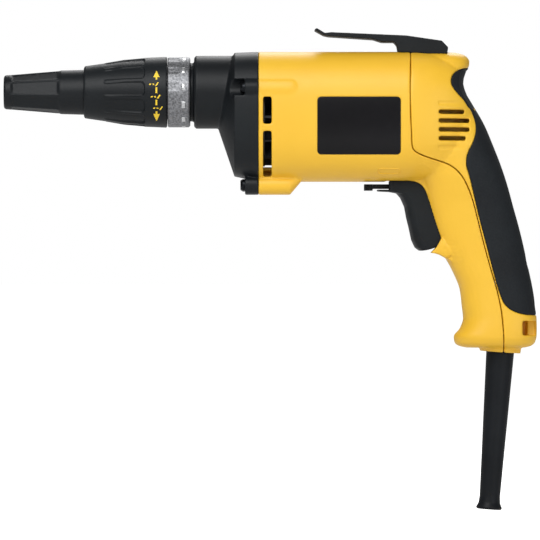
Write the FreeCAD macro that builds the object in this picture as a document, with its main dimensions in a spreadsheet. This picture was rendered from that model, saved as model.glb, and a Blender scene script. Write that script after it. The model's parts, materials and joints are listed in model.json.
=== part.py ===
import FreeCAD, Part
import math
import os
import re

import Sketcher
from FreeCAD import Placement, Rotation, Vector

# A corded drywall screwdriver. The origin is the mouth of the bit socket, on the spindle axis.
# +X runs back along the spindle to the handle, +Z is up, and the nose points along -X.
# Every driving dimension is a cell of the sheet, in millimetres, degrees or a plain count.

SIZES = {
    # shared
    "overrun": 2.0,
    "seat_gap": 0.3,
    "sliding_gap": 0.4,
    "running_gap": 0.05,
    "join_tolerance": 0.001,
    # nose cone
    "nose_reach": 19.2,
    "nose_tip_radius": 9.6,
    "nose_waist": 31.6,
    "nose_waist_radius": 12.1,
    "nose_back_radius": 12.7,
    "nose_rim": 1.2,
    "nose_mouth_radius": 6.0,
    "nose_mouth_length": 10.0,
    "nose_inside_radius": 9.0,
    "nose_flute_count": 8,
    "nose_flute_start": 3.8,
    "nose_flute_length": 27.6,
    "nose_flute_width": 7.2,
    "nose_flute_depth": 0.9,
    "nose_tail_radius": 13.9,
    "nose_tail_start": 18.4,
    "nose_tail_length": 10.8,
    "key_width": 3.0,
    "key_height": 1.1,
    # depth collar and its thread
    "collar_setback": 26.0,
    "collar_length": 47.0,
    "collar_front_radius": 14.8,
    "collar_back_radius": 20.0,
    "collar_lip_length": 14.0,
    "collar_bore_radius": 15.6,
    "collar_flute_count": 12,
    "collar_flute_width": 6.8,
    "collar_flute_depth": 0.9,
    "snap_rib_length": 2.6,
    "snap_rib_height": 0.8,
    "snap_rib_setback": 4.7,
    "thread_pitch": 4.0,
    "thread_length": 7.6,
    "thread_height": 1.0,
    "thread_root": 1.7,
    "thread_crest": 0.9,
    "thread_sink": 0.3,
    # detent ring
    "ring_length": 12.6,
    "ring_radius": 19.8,
    "ring_edge": 0.8,
    "ring_sleeve_length": 11.4,
    "ring_lug_count": 12,
    "ring_lug_length": 9.0,
    "ring_gap_width": 4.4,
    "ring_gap_depth": 0.6,
    "circlip_width": 1.1,
    "circlip_depth": 0.6,
    "circlip_radius": 12.8,
    # gear case
    "guide_front": 38.0,
    "guide_radius": 11.2,
    "guide_bore_radius": 8.0,
    "neck_groove_length": 2.2,
    "neck_groove_radius": 16.5,
    "neck_radius": 20.6,
    "neck_edge": 1.2,
    "neck_wall": 4.2,
    "gear_case_length": 36.4,
    "flare_top_length": 14.4,
    "flare_bottom_length": 22.8,
    "shoulder_length": 13.6,
    "shoulder_inset": 1.1,
    "shoulder_drop": 3.0,
    "wall": 3.0,
    # motor housing and handle
    "barrel_top": 22.8,
    "barrel_drop": 50.6,
    "barrel_width": 66.0,
    "barrel_length": 85.0,
    "dome_length": 37.0,
    "rear_reach": 72.3,
    "grip_height": 93.6,
    "grip_width": 36.0,
    "crown_inset": 0.4,
    "seam_gap": 0.35,
    "lip_width": 26.0,
    "pad_thickness": 1.7,
    # label plates, vents and side details
    "plate_length": 46.8,
    "plate_height": 32.4,
    "plate_corner": 2.2,
    "plate_setback": 33.0,
    "plate_drop": 3.2,
    "plate_thickness": 0.9,
    "plate_proud": 0.15,
    "front_vent_width": 4.8,
    "front_vent_setback": 2.6,
    "front_vent_drop": 3.2,
    "upper_vent_length": 15.2,
    "lower_vent_length": 25.6,
    "vent_bridge": 4.0,
    "rear_vent_height": 2.4,
    "rear_vent_pitch": 4.95,
    "rear_vent_setback": 16.1,
    "rear_vent_drop": 11.6,
    "rear_vent_depth": 12.0,
    "strap_slot_width": 3.0,
    "strap_slot_height": 8.2,
    "strap_slot_setback": 8.7,
    "strap_slot_rise": 11.0,
    "strap_recess_length": 4.9,
    "strap_recess_depth": 4.0,
    # screw bosses
    "side_boss_radius": 4.8,
    "side_boss_rise": 2.0,
    "side_boss_inset": 4.0,
    "side_boss_length": 7.6,
    "side_boss_tail": 18.0,
    "foot_boss_radius": 5.2,
    "foot_boss_spread": 14.0,
    "foot_boss_drop": 2.0,
    "foot_boss_tail": 17.8,
    "foot_boss_taper": 7.4,
    "case_screw_radius": 2.0,
    "case_screw_length": 18.0,
    "case_head_radius": 3.4,
    "case_head_height": 2.6,
    "cover_boss_radius": 4.6,
    "cover_screw_upper": 45.4,
    "cover_screw_lower": 70.9,
    "cover_screw_length": 25.0,
    "cover_screw_recess": 7.0,
    "cover_upper_rear": 66.6,
    # belt hook
    "hook_width": 24.0,
    "hook_length": 75.6,
    "hook_lead": 53.7,
    "hook_rise": 13.0,
    "hook_screw_radius": 1.6,
    "hook_head_radius": 3.0,
    "hook_head_height": 2.0,
    "hook_screw_sink": 9.0,
    "hook_screw_length": 12.0,
    "hook_boss_radius": 3.6,
    "hook_boss_depth": 9.0,
    "hook_screw_front": 7.4,
    "hook_screw_pitch": 9.0,
    # spindle, bit holder and clutch
    "spindle_front": 30.0,
    "spindle_radius": 5.0,
    "bush_length": 26.0,
    "bush_setback": 2.0,
    "seal_length": 4.0,
    "jaw_front": 94.0,
    "jaw_radius": 9.5,
    "jaw_thickness": 3.0,
    "jaw_height": 2.0,
    "jaw_inner_radius": 6.2,
    "jaw_count": 3,
    "jaw_angle": 42.0,
    "jaw_recess_radius": 5.0,
    "jaw_recess_depth": 5.0,
    "pilot_depth": 18.0,
    "spindle_push": 3.0,
    "socket_flats": 6.45,
    "socket_depth": 13.0,
    "shank_flats": 6.3,
    "shank_length": 18.0,
    "shank_gap": 0.1,
    "holder_radius": 6.0,
    "holder_ring_width": 2.0,
    "holder_ring_setback": 4.0,
    "holder_ring_radius": 6.6,
    "magnet_radius": 2.6,
    "magnet_length": 6.0,
    "seat_washer_thickness": 1.0,
    "clutch_spring_radius": 3.9,
    "clutch_spring_wire": 0.9,
    "clutch_spring_turns": 4,
    # drive gear train
    "gear_module": 0.6,
    "gear_teeth": 38,
    "pinion_teeth": 10,
    "pressure_angle": 25.0,
    "tooth_height_share": 0.8,
    "tooth_root_share": 1.0,
    "backlash": 0.1,
    "pinion_setback": 2.0,
    "gear_width": 8.0,
    "gear_recess_depth": 0.8,
    "gear_bush_radius": 3.6,
    "arbor_radius": 2.5,
    "arbor_tip": 82.0,
    "thrust_washer_thickness": 1.0,
    "thrust_washer_radius": 6.0,
    "plate_seat": 2.0,
    "plate_depth": 8.6,
    # motor
    "shaft_radius": 4.0,
    "front_bearing_radius": 11.0,
    "front_bearing_width": 7.0,
    "front_ball_radius": 1.9,
    "rear_bearing_radius": 9.5,
    "rear_bearing_bore": 3.5,
    "rear_bearing_width": 6.0,
    "rear_ball_radius": 1.5,
    "ball_count": 7,
    "race_share": 0.3,
    "fan_setback": 2.0,
    "fan_radius": 27.5,
    "fan_height": 8.0,
    "fan_disc": 1.6,
    "fan_hub_radius": 6.5,
    "fan_blade": 1.2,
    "fan_blade_count": 12,
    "core_setback": 22.0,
    "core_length": 36.0,
    "core_radius": 15.7,
    "core_slot_count": 12,
    "core_slot_width": 2.4,
    "core_slot_depth": 4.0,
    "winding_length": 7.6,
    "winding_radius": 13.6,
    "winding_collar": 6.2,
    "commutator_length": 11.0,
    "commutator_radius": 10.0,
    "commutator_slot_count": 24,
    "commutator_slot_width": 0.6,
    "commutator_slot_depth": 1.0,
    "air_gap": 0.6,
    "field_length": 34.0,
    "field_yoke": 5.4,
    "pole_angle": 96.0,
    "coil_angle": 168.0,
    "coil_side_angle": 30.0,
    "coil_overhang": 6.0,
    "bracket_thickness": 6.5,
    "bracket_setback": 77.5,
    "brush_width": 6.2,
    "brush_height": 5.2,
    "brush_length": 12.0,
    "brush_gap": 0.1,
    "holder_wall": 1.6,
    "brush_spring_radius": 2.0,
    "brush_spring_wire": 0.5,
    "brush_spring_turns": 5,
    # switch, trigger and reversing lever
    "trigger_width": 19.0,
    "trigger_travel": 8.0,
    "trigger_reach": 29.0,
    "trigger_height": 34.6,
    "trigger_round": 4.0,
    "trigger_drop": 4.5,
    "trigger_back": 17.6,
    "cheek_width": 2.2,
    "slot_height": 40.7,
    "slot_rise": 0.6,
    "lever_thickness": 2.6,
    "lever_drop": 1.4,
    "lever_arm": 30.6,
    "lever_tail": 15.0,
    "lever_arm_width": 7.0,
    "lever_paddle_length": 4.8,
    "lever_paddle_width": 13.0,
    "lever_paddle_height": 3.6,
    "lever_boss_radius": 4.4,
    "lever_pivot": 5.2,
    "lever_pin_radius": 1.6,
    "lever_rib_count": 3,
    "lever_rib_depth": 0.6,
    "lever_rib_width": 0.8,
    "plunger_radius": 2.5,
    "plunger_length": 13.0,
    "plunger_drop": 16.0,
    "trigger_spring_radius": 3.9,
    "trigger_spring_wire": 0.8,
    "trigger_spring_turns": 4,
    "switch_gap": 1.0,
    "switch_depth": 14.6,
    "switch_width": 22.0,
    "switch_height": 30.4,
    "switch_drop": 6.0,
    "switch_edge": 1.2,
    "switch_bore_depth": 13.0,
    "switch_rib": 4.6,
    # cord inlet
    "sleeve_setback": 51.7,
    "sleeve_tilt": 4.1,
    "sleeve_length": 91.6,
    "sleeve_top_radius": 7.9,
    "sleeve_end_radius": 5.8,
    "sleeve_flare_radius": 7.4,
    "sleeve_flare_length": 3.6,
    "sleeve_bore_radius": 3.9,
    "sleeve_relief": 0.8,
    "sleeve_head_radius": 9.6,
    "sleeve_head_length": 3.4,
    "sleeve_head_lift": 1.1,
    "sleeve_edge": 1.0,
    "inlet_ring_radius": 11.6,
    "inlet_ring_height": 2.6,
    "clamp_drop": 57.4,
    "clamp_setback": 41.7,
    "clamp_width": 24.0,
    "clamp_height": 7.0,
    "clamp_thickness": 6.0,
    "clamp_rib": 12.0,
    "clamp_groove_radius": 3.6,
    "clamp_screw_spread": 7.6,
    "clamp_screw_radius": 1.5,
    "clamp_screw_length": 12.0,
    "clamp_head_radius": 2.8,
    "clamp_head_height": 1.8,
}

# Powers of the rounded cross-sections: 2 is an ellipse, and more is squarer.
BARREL_POWER = 2.8
GRIP_POWER = 2.5
RIM_POINTS = 24

# Shares of the collar's length and of its swell from the front radius to the back radius.
COLLAR_SHARES = ((0.0, 0.0), (0.25, 0.33), (0.48, 0.70), (0.73, 0.90), (1.0, 1.0))
COLLAR_FLUTE_SHARES = (0.25, 0.73)

# Shares of the dome's length, of the barrel's half height and of its width.
DOME_SHARES = (
    (0.0, 1.0, 1.0), (0.30, 0.985, 0.95), (0.58, 0.92, 0.84),
    (0.80, 0.78, 0.68), (0.94, 0.58, 0.50), (1.0, 0.42, 0.36),
)

# The spine and grip as level sections: shares of the height, of the rear reach at the front
# edge and at the rear edge, and of the grip's width. Heights from 0 to 1 climb the spine
# from the barrel's underside to its top, and heights from 0 to -1 go down the grip.
SPINE_SHARES = (
    (-1.0, 0.445, 0.906, 0.72), (-0.990, 0.390, 0.953, 0.86), (-0.969, 0.355, 0.984, 0.97),
    (-0.933, 0.349, 0.997, 1.04), (-0.885, 0.395, 0.999, 1.04), (-0.824, 0.422, 0.997, 1.02),
    (-0.752, 0.412, 0.987, 1.0), (-0.655, 0.397, 0.969, 0.98), (-0.534, 0.336, 0.936, 0.97),
    (-0.413, 0.250, 0.902, 0.98), (-0.292, 0.188, 0.865, 1.0), (-0.141, 0.133, 0.811, 1.07),
    (-0.027, 0.090, 0.771, 1.18), (0.128, 0.023, 0.717, 1.30), (0.282, 0.0, 0.656, 1.32),
    (0.436, 0.0, 0.590, 1.28), (0.567, 0.0, 0.515, 1.20), (0.659, 0.0, 0.455, 1.14),
    (0.751, 0.0, 0.426, 1.10), (0.821, 0.0, 0.438, 1.08), (0.875, 0.0, 0.464, 1.04),
    (0.929, 0.0, 0.472, 0.97), (0.967, 0.0, 0.450, 0.84), (0.990, 0.0, 0.405, 0.62),
    (1.0, 0.0, 0.36, 0.36),
)

# The parting line between motor housing and handle cover, as shares of the rear reach and of
# the same heights, from the top of the barrel down to the foot of the grip.
SEAM_SHARES = (
    (0.0, 1.2), (0.004, 0.75), (0.016, 0.31), (0.030, 0.245), (0.076, 0.213), (0.247, 0.155),
    (0.332, 0.117), (0.398, 0.057), (0.445, -0.015), (0.531, -0.22), (0.635, -0.525),
    (0.705, -0.725), (0.730, -0.87), (0.730, -1.2),
)

# The edge of the soft grip pad, in the same shares, from the throat down to the foot.
PAD_SHARES = (
    (0.60, 0.868), (0.40, 0.868), (0.352, 0.842), (0.320, 0.79), (0.322, 0.745), (0.345, 0.705),
    (0.43, 0.61), (0.50, 0.495), (0.516, 0.405), (0.49, 0.30), (0.445, 0.20), (0.438, 0.14),
    (0.457, 0.06), (0.492, -0.06), (0.545, -0.23), (0.61, -0.42), (0.665, -0.585),
    (0.708, -0.69), (0.745, -0.745), (0.82, -0.785), (0.92, -0.803), (1.2, -0.806),
)

# The lip under the trigger, in the same shares.
LIP_SHARES = (
    (0.250, -0.34), (0.212, -0.395), (0.170, -0.428), (0.225, -0.434), (0.29, -0.462),
    (0.33, -0.44),
)

# The trigger's outline: shares of its reach ahead of its back face and of its height.
TRIGGER_SHARES = (
    (0.0, 0.0), (0.0, 0.926), (0.197, 0.967), (0.411, 0.997), (0.499, 0.943), (0.567, 0.82),
    (0.616, 0.624), (0.665, 0.461), (0.704, 0.281), (0.782, 0.134), (0.86, 0.06), (1.016, 0.036),
    (1.23, 0.028), (1.24, 0.0),
)
TRIGGER_ROUND_SHARE = 0.40

# The belt hook's outline: shares of its length from the tip and of its rise above the barrel.
HOOK_SHARES = (
    (0.640, -0.45), (0.985, -0.45), (1.0, 0.18), (0.952, 0.47), (0.685, 0.695), (0.13, 0.835),
    (0.08, 0.805), (0.02, 1.02), (0.0, 0.93), (0.068, 0.705), (0.105, 0.655), (0.44, 0.525),
    (0.505, 0.405), (0.595, 0.405), (0.617, 0.26),
)

# Rear vent slots from the top: shares of the rear reach where each slot ends.
REAR_VENT_SHARES = (0.425, 0.463, 0.465, 0.434)

doc = FreeCAD.newDocument("drywall_screwdriver")
sheet = doc.addObject("Spreadsheet::Sheet", "Sizes")
for row, (alias, size) in enumerate(SIZES.items(), start=1):
    sheet.set(f"A{row}", alias)
    sheet.set(f"B{row}", str(size))
    sheet.setAlias(f"B{row}", alias)
doc.recompute()

nodes = []


def linked(text):
    """Name the sheet in front of every size in an expression."""
    return re.sub(r"[a-z_]+", lambda word: "Sizes." + word[0] if word[0] in SIZES else word[0], text)


def mm(text):
    """The value of an expression of sizes."""
    return float(sheet.evalExpression(linked(text)))


def bind(item, prop, text):
    item.setExpression(prop, linked(text))


def keep(item, label):
    item.Label = label
    nodes.append(item)
    return item


# Places along the spindle axis, each worked out from the piece in front of it.
NOSE_TIP = "(-nose_reach)"
COLLAR_BACK = "(collar_setback + collar_length)"
RING_FRONT = f"({COLLAR_BACK} + sliding_gap)"
RING_BACK = f"({RING_FRONT} + ring_length)"
NECK_FRONT = f"({RING_BACK} + neck_groove_length)"
JOINT = f"({NECK_FRONT} + gear_case_length)"
SEAM = f"({JOINT} + barrel_length)"
JAW_BACK = "(jaw_front + jaw_thickness + jaw_height)"
GEAR_JAW = f"({JAW_BACK} + spindle_push + seat_gap)"
GEAR_FRONT = f"({GEAR_JAW} + jaw_height)"
GEAR_BACK = f"({GEAR_FRONT} + gear_width)"
PLATE_BACK = f"({JOINT} - plate_seat)"
PLATE_FRONT = f"({PLATE_BACK} - plate_depth)"
CORE_FRONT = f"({JOINT} + core_setback)"
CORE_BACK = f"({CORE_FRONT} + core_length)"
COMMUTATOR_FRONT = f"({CORE_BACK} + winding_length)"
BRACKET_FRONT = f"({JOINT} + bracket_setback)"
BRACKET_BACK = f"({BRACKET_FRONT} + bracket_thickness)"
TRIGGER_BACK = f"({SEAM} + trigger_back)"
SWITCH_FRONT = f"({TRIGGER_BACK} + trigger_travel + switch_gap)"
MOTOR_DROP = "((gear_teeth + pinion_teeth) * gear_module / 2)"
FIELD_RADIUS = "(barrel_width / 2 - wall - seat_gap)"
BARREL_MIDDLE = "((barrel_top - barrel_drop) / 2)"
BARREL_HALF = "((barrel_top + barrel_drop) / 2)"


def origin_feature(body, role):
    return next(item for item in body.Origin.OriginFeatures if item.Role == role)


def outline_sketch(body, name, points, plane="XZ_Plane"):
    """A closed outline of straight runs whose corners are bound to expressions."""
    sketch = body.newObject("Sketcher::SketchObject", name)
    sketch.AttachmentSupport = (origin_feature(body, plane), [""])
    sketch.MapMode = "FlatFace"
    corners = [Vector(mm(across), mm(up), 0) for across, up in points]
    count = len(points)
    for index in range(count):
        sketch.addGeometry(Part.LineSegment(corners[index], corners[(index + 1) % count]))
    for index in range(count):
        sketch.addConstraint(Sketcher.Constraint("Coincident", index, 2, (index + 1) % count, 1))
    for index, (across, up) in enumerate(points):
        for word, text, value in (("DistanceX", across, corners[index].x),
                                  ("DistanceY", up, corners[index].y)):
            place = sketch.addConstraint(Sketcher.Constraint(word, -1, 1, index, 1, value))
            bind(sketch, f"Constraints[{place}]", text)
    return sketch


def turned(name, outline, x="0", y="0", z="0", turn=None):
    """A body turned about its own X axis from an outline of (along, radius)."""
    body = doc.addObject("PartDesign::Body", name)
    feature = body.newObject("PartDesign::Revolution", name + "_turn")
    feature.Profile = outline_sketch(body, name + "_outline", outline)
    feature.ReferenceAxis = (origin_feature(body, "X_Axis"), [""])
    feature.Angle = 360
    if turn:
        body.Placement = Placement(Vector(), turn)
    for axis, text in zip("xyz", (x, y, z)):
        bind(body, f"Placement.Base.{axis}", text)
    return body


def tube(name, front, back, inner, outer, z="0"):
    return turned(name, [(front, inner), (back, inner), (back, outer), (front, outer)], z=z)


def fluted(body, name, outline, width, count):
    """Cut one groove through the top of a body and repeat it round the X axis."""
    pocket = body.newObject("PartDesign::Pocket", name)
    pocket.Profile = outline_sketch(body, name + "_outline", outline)
    pocket.Midplane = True
    bind(pocket, "Length", width)
    pattern = body.newObject("PartDesign::PolarPattern", name + "_ring")
    pattern.Originals = [pocket]
    pattern.Axis = (origin_feature(body, "X_Axis"), [""])
    pattern.Angle = 360
    bind(pattern, "Occurrences", count)
    body.Tip = pattern


def padded(name, outline, width, plane="XZ_Plane"):
    """A body padded evenly to both sides of one of its origin planes."""
    body = doc.addObject("PartDesign::Body", name)
    feature = body.newObject("PartDesign::Pad", name + "_pad")
    feature.Profile = outline_sketch(body, name + "_outline", outline, plane)
    feature.Midplane = True
    bind(feature, "Length", width)
    return body


def rounded(body, name, radius, wanted):
    """Round the edges of a body's last feature that the test picks out."""
    doc.recompute()
    base = body.Tip
    edges = [f"Edge{index}" for index, edge in enumerate(base.Shape.Edges, start=1) if wanted(edge)]
    fillet = body.newObject("PartDesign::Fillet", name)
    fillet.Base = (base, edges)
    bind(fillet, "Radius", radius)


def threaded(body, name, outline):
    """A right-hand helical ridge along the X axis."""
    ridge = body.newObject("PartDesign::AdditiveHelix", name)
    ridge.Profile = outline_sketch(body, name + "_outline", outline)
    ridge.ReferenceAxis = (origin_feature(body, "X_Axis"), [""])
    ridge.Mode = "pitch-height-angle"
    bind(ridge, "Pitch", "thread_pitch")
    bind(ridge, "Height", "thread_length")


AXIS_TURNS = {
    "X": Rotation(Vector(0, 1, 0), 90),
    "Y": Rotation(Vector(1, 0, 0), -90),
    "Z": Rotation(),
}


def cylinder(name, radius, length, x="0", y="0", z="0", axis="X"):
    item = doc.addObject("Part::Cylinder", name)
    item.Placement = Placement(Vector(), AXIS_TURNS[axis])
    bind(item, "Radius", radius)
    bind(item, "Height", length)
    for letter, text in zip("xyz", (x, y, z)):
        bind(item, f"Placement.Base.{letter}", text)
    return item


def box(name, low, high):
    item = doc.addObject("Part::Box", name)
    for prop, start, end in zip(("Length", "Width", "Height"), low, high):
        bind(item, prop, f"({end}) - ({start})")
    for letter, text in zip("xyz", low):
        bind(item, f"Placement.Base.{letter}", text)
    return item


def fuse(name, *items):
    joined = doc.addObject("Part::MultiFuse", name)
    joined.Shapes = list(items)
    return joined


def cut(name, base, *tools):
    result = doc.addObject("Part::Cut", name)
    result.Base = base
    result.Tool = tools[0] if len(tools) == 1 else fuse(name + "_tools", *tools)
    return result


def group(name, items):
    together = doc.addObject("Part::Compound", name)
    together.Links = list(items)
    return together


def feature(name, shape):
    item = doc.addObject("Part::Feature", name)
    item.Shape = shape
    return item


def screw(name, head_radius, head_height, radius, length, x, y, z, turn=None):
    """A pan head screw with a round drive recess, its shank along +X from the head's seat."""
    outline = [
        (f"-{head_height} / 2", "0"), (length, "0"), (length, f"{radius} / 2"),
        (f"{length} - {radius}", radius), ("0", radius), ("0", head_radius),
        (f"-{head_height} / 2", head_radius), (f"-{head_height}", f"{head_radius} * 3 / 4"),
        (f"-{head_height}", f"{head_radius} / 3"), (f"-{head_height} / 2", f"{head_radius} / 3"),
    ]
    return turned(name, outline, x, y, z, turn)


# Solid helpers for the moulded shells.

def rim(point, half_height, half_width, power):
    """A rounded closed curve: point maps (up, across) lengths to a place."""
    places = []
    for step in range(RIM_POINTS):
        angle = 2 * math.pi * step / RIM_POINTS
        up, across = math.cos(angle), math.sin(angle)
        up = math.copysign(abs(up) ** (2 / power), up) * half_height
        across = math.copysign(abs(across) ** (2 / power), across) * half_width
        places.append(point(up, across))
    curve = Part.BSplineCurve()
    curve.interpolate(Points=places, PeriodicFlag=True,
                      Parameters=[step / RIM_POINTS for step in range(RIM_POINTS + 1)])
    return curve


def upright(x, top, bottom, width, power):
    """A section across the spindle axis."""
    middle = (top + bottom) / 2
    return rim(lambda up, across: Vector(x, across, middle + up), (top - bottom) / 2, width / 2, power)


def level(z, front, rear, width, power):
    """A section across the handle."""
    middle = (front + rear) / 2
    return rim(lambda up, across: Vector(middle + up, across, z), (rear - front) / 2, width / 2, power)


def ruled(curves):
    """A solid of straight runs between sections."""
    return Part.makeLoft([Part.Wire([curve.toShape()]) for curve in curves], True, True)


def gentle(before, after, gap_before, gap_after):
    """A slope between two neighbours that never overshoots either."""
    if before * after <= 0:
        return 0.0
    near, far = 2 * gap_after + gap_before, gap_after + 2 * gap_before
    return (near + far) / (near / before + far / after)


def skinned(curves, stations):
    """A smooth solid through sections, whose skin passes every section without overshoot."""
    poles = [curve.getPoles() for curve in curves]
    gaps = [after - before for before, after in zip(stations, stations[1:])]
    steps = [[(far - near) / gap for near, far in zip(row, following)]
             for row, following, gap in zip(poles, poles[1:], gaps)]
    slopes = [steps[0]]
    for index in range(1, len(gaps)):
        slopes.append([Vector(*(gentle(before, after, gaps[index - 1], gaps[index])
                                for before, after in zip(first, second)))
                       for first, second in zip(steps[index - 1], steps[index])])
    slopes.append(steps[-1])
    net = [poles[0]]
    for index, gap in enumerate(gaps):
        net.append([place + slope * (gap / 3) for place, slope in zip(poles[index], slopes[index])])
        net.append([place - slope * (gap / 3) for place, slope in zip(poles[index + 1], slopes[index + 1])])
    net.append(poles[-1])
    surface = Part.BSplineSurface()
    along_mults = [4] + [2] * (len(stations) - 2) + [4]
    surface.buildFromPolesMultsKnots(net, along_mults, curves[0].getMultiplicities(), stations,
                                     curves[0].getKnots(), False, True, 3, 3)
    caps = [Part.Face(Part.Wire([curve.toShape()])) for curve in (curves[0], curves[-1])]
    hull = Part.makeShell([surface.toShape()] + caps)
    hull.sewShape()
    solid = Part.Solid(hull)
    if solid.Volume < 0:
        solid.reverse()
    return solid


def span(low, high):
    """A block between two corners."""
    size = high - low
    return Part.makeBox(size.x, size.y, size.z, low)


def rod(radius, start, end):
    return Part.makeCylinder(radius, (end - start).Length, start, end - start)


def prism(points, low, high, curved=False):
    """An outline of (x, z) places pushed along Y, with its first run of points curved if asked."""
    places = [Vector(x, low, z) for x, z in points]
    if curved:
        line = Part.BSplineCurve()
        line.interpolate(places[:-2])
        edges = [line.toShape()]
        corners = [places[-3], places[-2], places[-1], places[0]]
    else:
        edges = []
        corners = places + [places[0]]
    edges += [Part.LineSegment(a, b).toShape() for a, b in zip(corners, corners[1:])]
    return Part.Face(Part.Wire(edges)).extrude(Vector(0, high - low, 0))


def both_sides(shape):
    return [shape, shape.mirror(Vector(), Vector(0, 1, 0))]


def height_at(share):
    """Height of a spine share: up the barrel above zero, down the grip below it."""
    drop = mm("barrel_drop")
    if share > 0:
        return share * (drop + mm("barrel_top - crown_inset")) - drop
    return share * mm("grip_height") - drop


def spine_places(shares):
    return [Vector(mm(SEAM) + x * mm("rear_reach"), 0, height_at(z)) for x, z in shares]


OVERRUN = mm("overrun")
CLOSE = mm("join_tolerance")
FAR = mm("rear_reach")


def barrel(inset, end_inset):
    """The motor barrel and its rounded rear, drawn in by an inset all round."""
    width = mm("barrel_width") - 2 * inset
    half = mm(BARREL_HALF) - inset
    middle = mm(BARREL_MIDDLE)
    stations = [mm(JOINT)]
    curves = [upright(mm(JOINT), middle + half, middle - half, width, BARREL_POWER)]
    for along, tall, wide in DOME_SHARES:
        stations.append(mm(SEAM) + along * (mm("dome_length") - end_inset))
        curves.append(upright(stations[-1], middle + half * tall, middle - half * tall, width * wide,
                              BARREL_POWER))
    return skinned(curves, stations)


def spine(inset, end_inset):
    """The handle, with the spine behind the barrel that it grows into."""
    seam, reach, wide = mm(SEAM), mm("rear_reach"), mm("grip_width")
    top, foot = height_at(1), height_at(-1)
    draw = 1 - 2 * end_inset / (top - foot)
    stations, curves = [], []
    for tall, front, rear, share in SPINE_SHARES:
        stations.append((top + foot) / 2 + (height_at(tall) - (top + foot) / 2) * draw)
        curves.append(level(stations[-1], seam + front * reach + inset, seam + rear * reach - inset,
                            wide * share - 2 * inset, GRIP_POWER))
    return skinned(curves, stations)


def skin(inset, end_inset=0.0):
    return barrel(inset, end_inset).fuse(spine(inset, end_inset))


def flare(inset, front, tail=0.0):
    """The gear case from its round neck to the barrel's section, drawn in by an inset all round."""
    joint, radius, edge = mm(JOINT), mm("neck_radius") - inset, mm("neck_edge")
    top, drop = mm("barrel_top") - inset, mm("barrel_drop") - inset
    width = mm("barrel_width") - 2 * inset
    lean = (mm("flare_bottom_length") - mm("flare_top_length")) / mm("2 * neck_radius")
    start = joint - (mm("flare_bottom_length") + mm("flare_top_length")) / 2 + inset
    shoulder, draw = joint - mm("shoulder_length") + inset, mm("shoulder_inset")
    curves = [
        rim(lambda up, across: Vector(front, across, up), radius - edge, radius - edge, 2),
        rim(lambda up, across: Vector(front + edge, across, up), radius, radius, 2),
        rim(lambda up, across: Vector(start + lean * up, across, up), radius, radius, 2),
        upright(shoulder, top - draw / 2, mm("shoulder_drop") - drop, width - 2 * draw, BARREL_POWER),
        upright(joint, top, -drop, width, BARREL_POWER),
    ]
    if tail:
        curves.append(upright(joint + tail, top, -drop, width, BARREL_POWER))
    return ruled(curves)


def side_axis():
    """Where the side screws run: half a width out, and height."""
    return mm("barrel_width / 2 - side_boss_inset"), mm("side_boss_rise")


def foot_axis():
    return mm("foot_boss_spread"), -mm("barrel_drop + foot_boss_drop")


def ring_solid(inner, outer, front, back, z):
    start = Vector(front, 0, z)
    along = Vector(1, 0, 0)
    return Part.makeCylinder(outer, back - front, start, along).cut(
        Part.makeCylinder(inner, back - front, start, along))


def sector(inner, outer, first, last, front, back, z):
    """Part of a ring round the X axis, between two angles from straight up."""
    start = Vector(front, 0, z)
    wide = Part.makeCylinder(outer, back - front, Vector(), Vector(0, 0, 1), last - first)
    wide = wide.cut(Part.makeCylinder(inner, back - front))
    wide.rotate(Vector(), Vector(0, 0, 1), first)
    wide.rotate(Vector(), Vector(0, 1, 0), 90)
    wide.translate(start)
    wide.rotate(start, Vector(1, 0, 0), 180)
    return wide


def bulge(start, heading, end):
    """The middle of the arc that leaves its start along a heading and reaches its end."""
    chord = end - start
    side = heading - chord * (heading.dot(chord) / chord.dot(chord))
    lean = heading.getAngle(chord)
    return start + chord / 2 + side.normalize() * (chord.Length / 2 * math.tan(lean / 2))


def coil(radius, wire, turns, length):
    """A coil spring along +X from the origin, on its mean radius, two smooth arcs to each quarter turn."""
    quarters = int(4 * turns)
    rise = 2 * length / (math.pi * quarters)
    places, headings, edges = [], [], []
    for step in range(quarters + 1):
        angle = math.pi / 2 * step
        places.append(Vector(rise * angle, radius * math.sin(angle), radius * math.cos(angle)))
        headings.append(Vector(rise, radius * math.cos(angle), -radius * math.sin(angle)).normalize())
    for start, end, first, last in zip(places, places[1:], headings, headings[1:]):
        chord = end - start
        spread, along = 2 * (1 - first.dot(last)), chord.dot(first + last)
        reach = (math.sqrt(along * along + spread * chord.dot(chord)) - along) / spread
        knee = (start + end + (first - last) * reach) / 2
        edges += [Part.Arc(start, bulge(start, first, knee), knee).toShape(),
                  Part.Arc(knee, bulge(end, last * -1, knee), end).toShape()]
    ring = Part.Wire([Part.Circle(places[0], headings[0], wire / 2).toShape()])
    return Part.Wire(edges).makePipeShell([ring], True, False)


def involute_wheel(teeth, phase):
    """A closed outline of involute teeth in the YZ plane, one tooth centred on the phase angle."""
    module, pressure = mm("gear_module"), math.radians(mm("pressure_angle"))
    pitch_radius = teeth * module / 2
    base = pitch_radius * math.cos(pressure)
    tip = pitch_radius + module * mm("tooth_height_share")
    root = pitch_radius - module * mm("tooth_root_share")
    half = math.pi / (2 * teeth) - mm("backlash") / (4 * pitch_radius)
    half += math.tan(pressure) - pressure
    start = max(root, base)
    flank = []
    for step in range(5):
        radius = start + (tip - start) * step / 4
        angle = math.acos(min(1.0, base / radius))
        flank.append((radius, half - (math.tan(angle) - angle)))
    if root < base:
        flank.insert(0, (root, flank[0][1]))
    places = []
    for tooth in range(teeth):
        middle = phase + 2 * math.pi * tooth / teeth
        places += [(radius, middle - angle) for radius, angle in flank]
        places += [(radius, middle + angle) for radius, angle in reversed(flank)]
    return [Vector(0, radius * math.sin(angle), radius * math.cos(angle)) for radius, angle in places]


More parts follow.
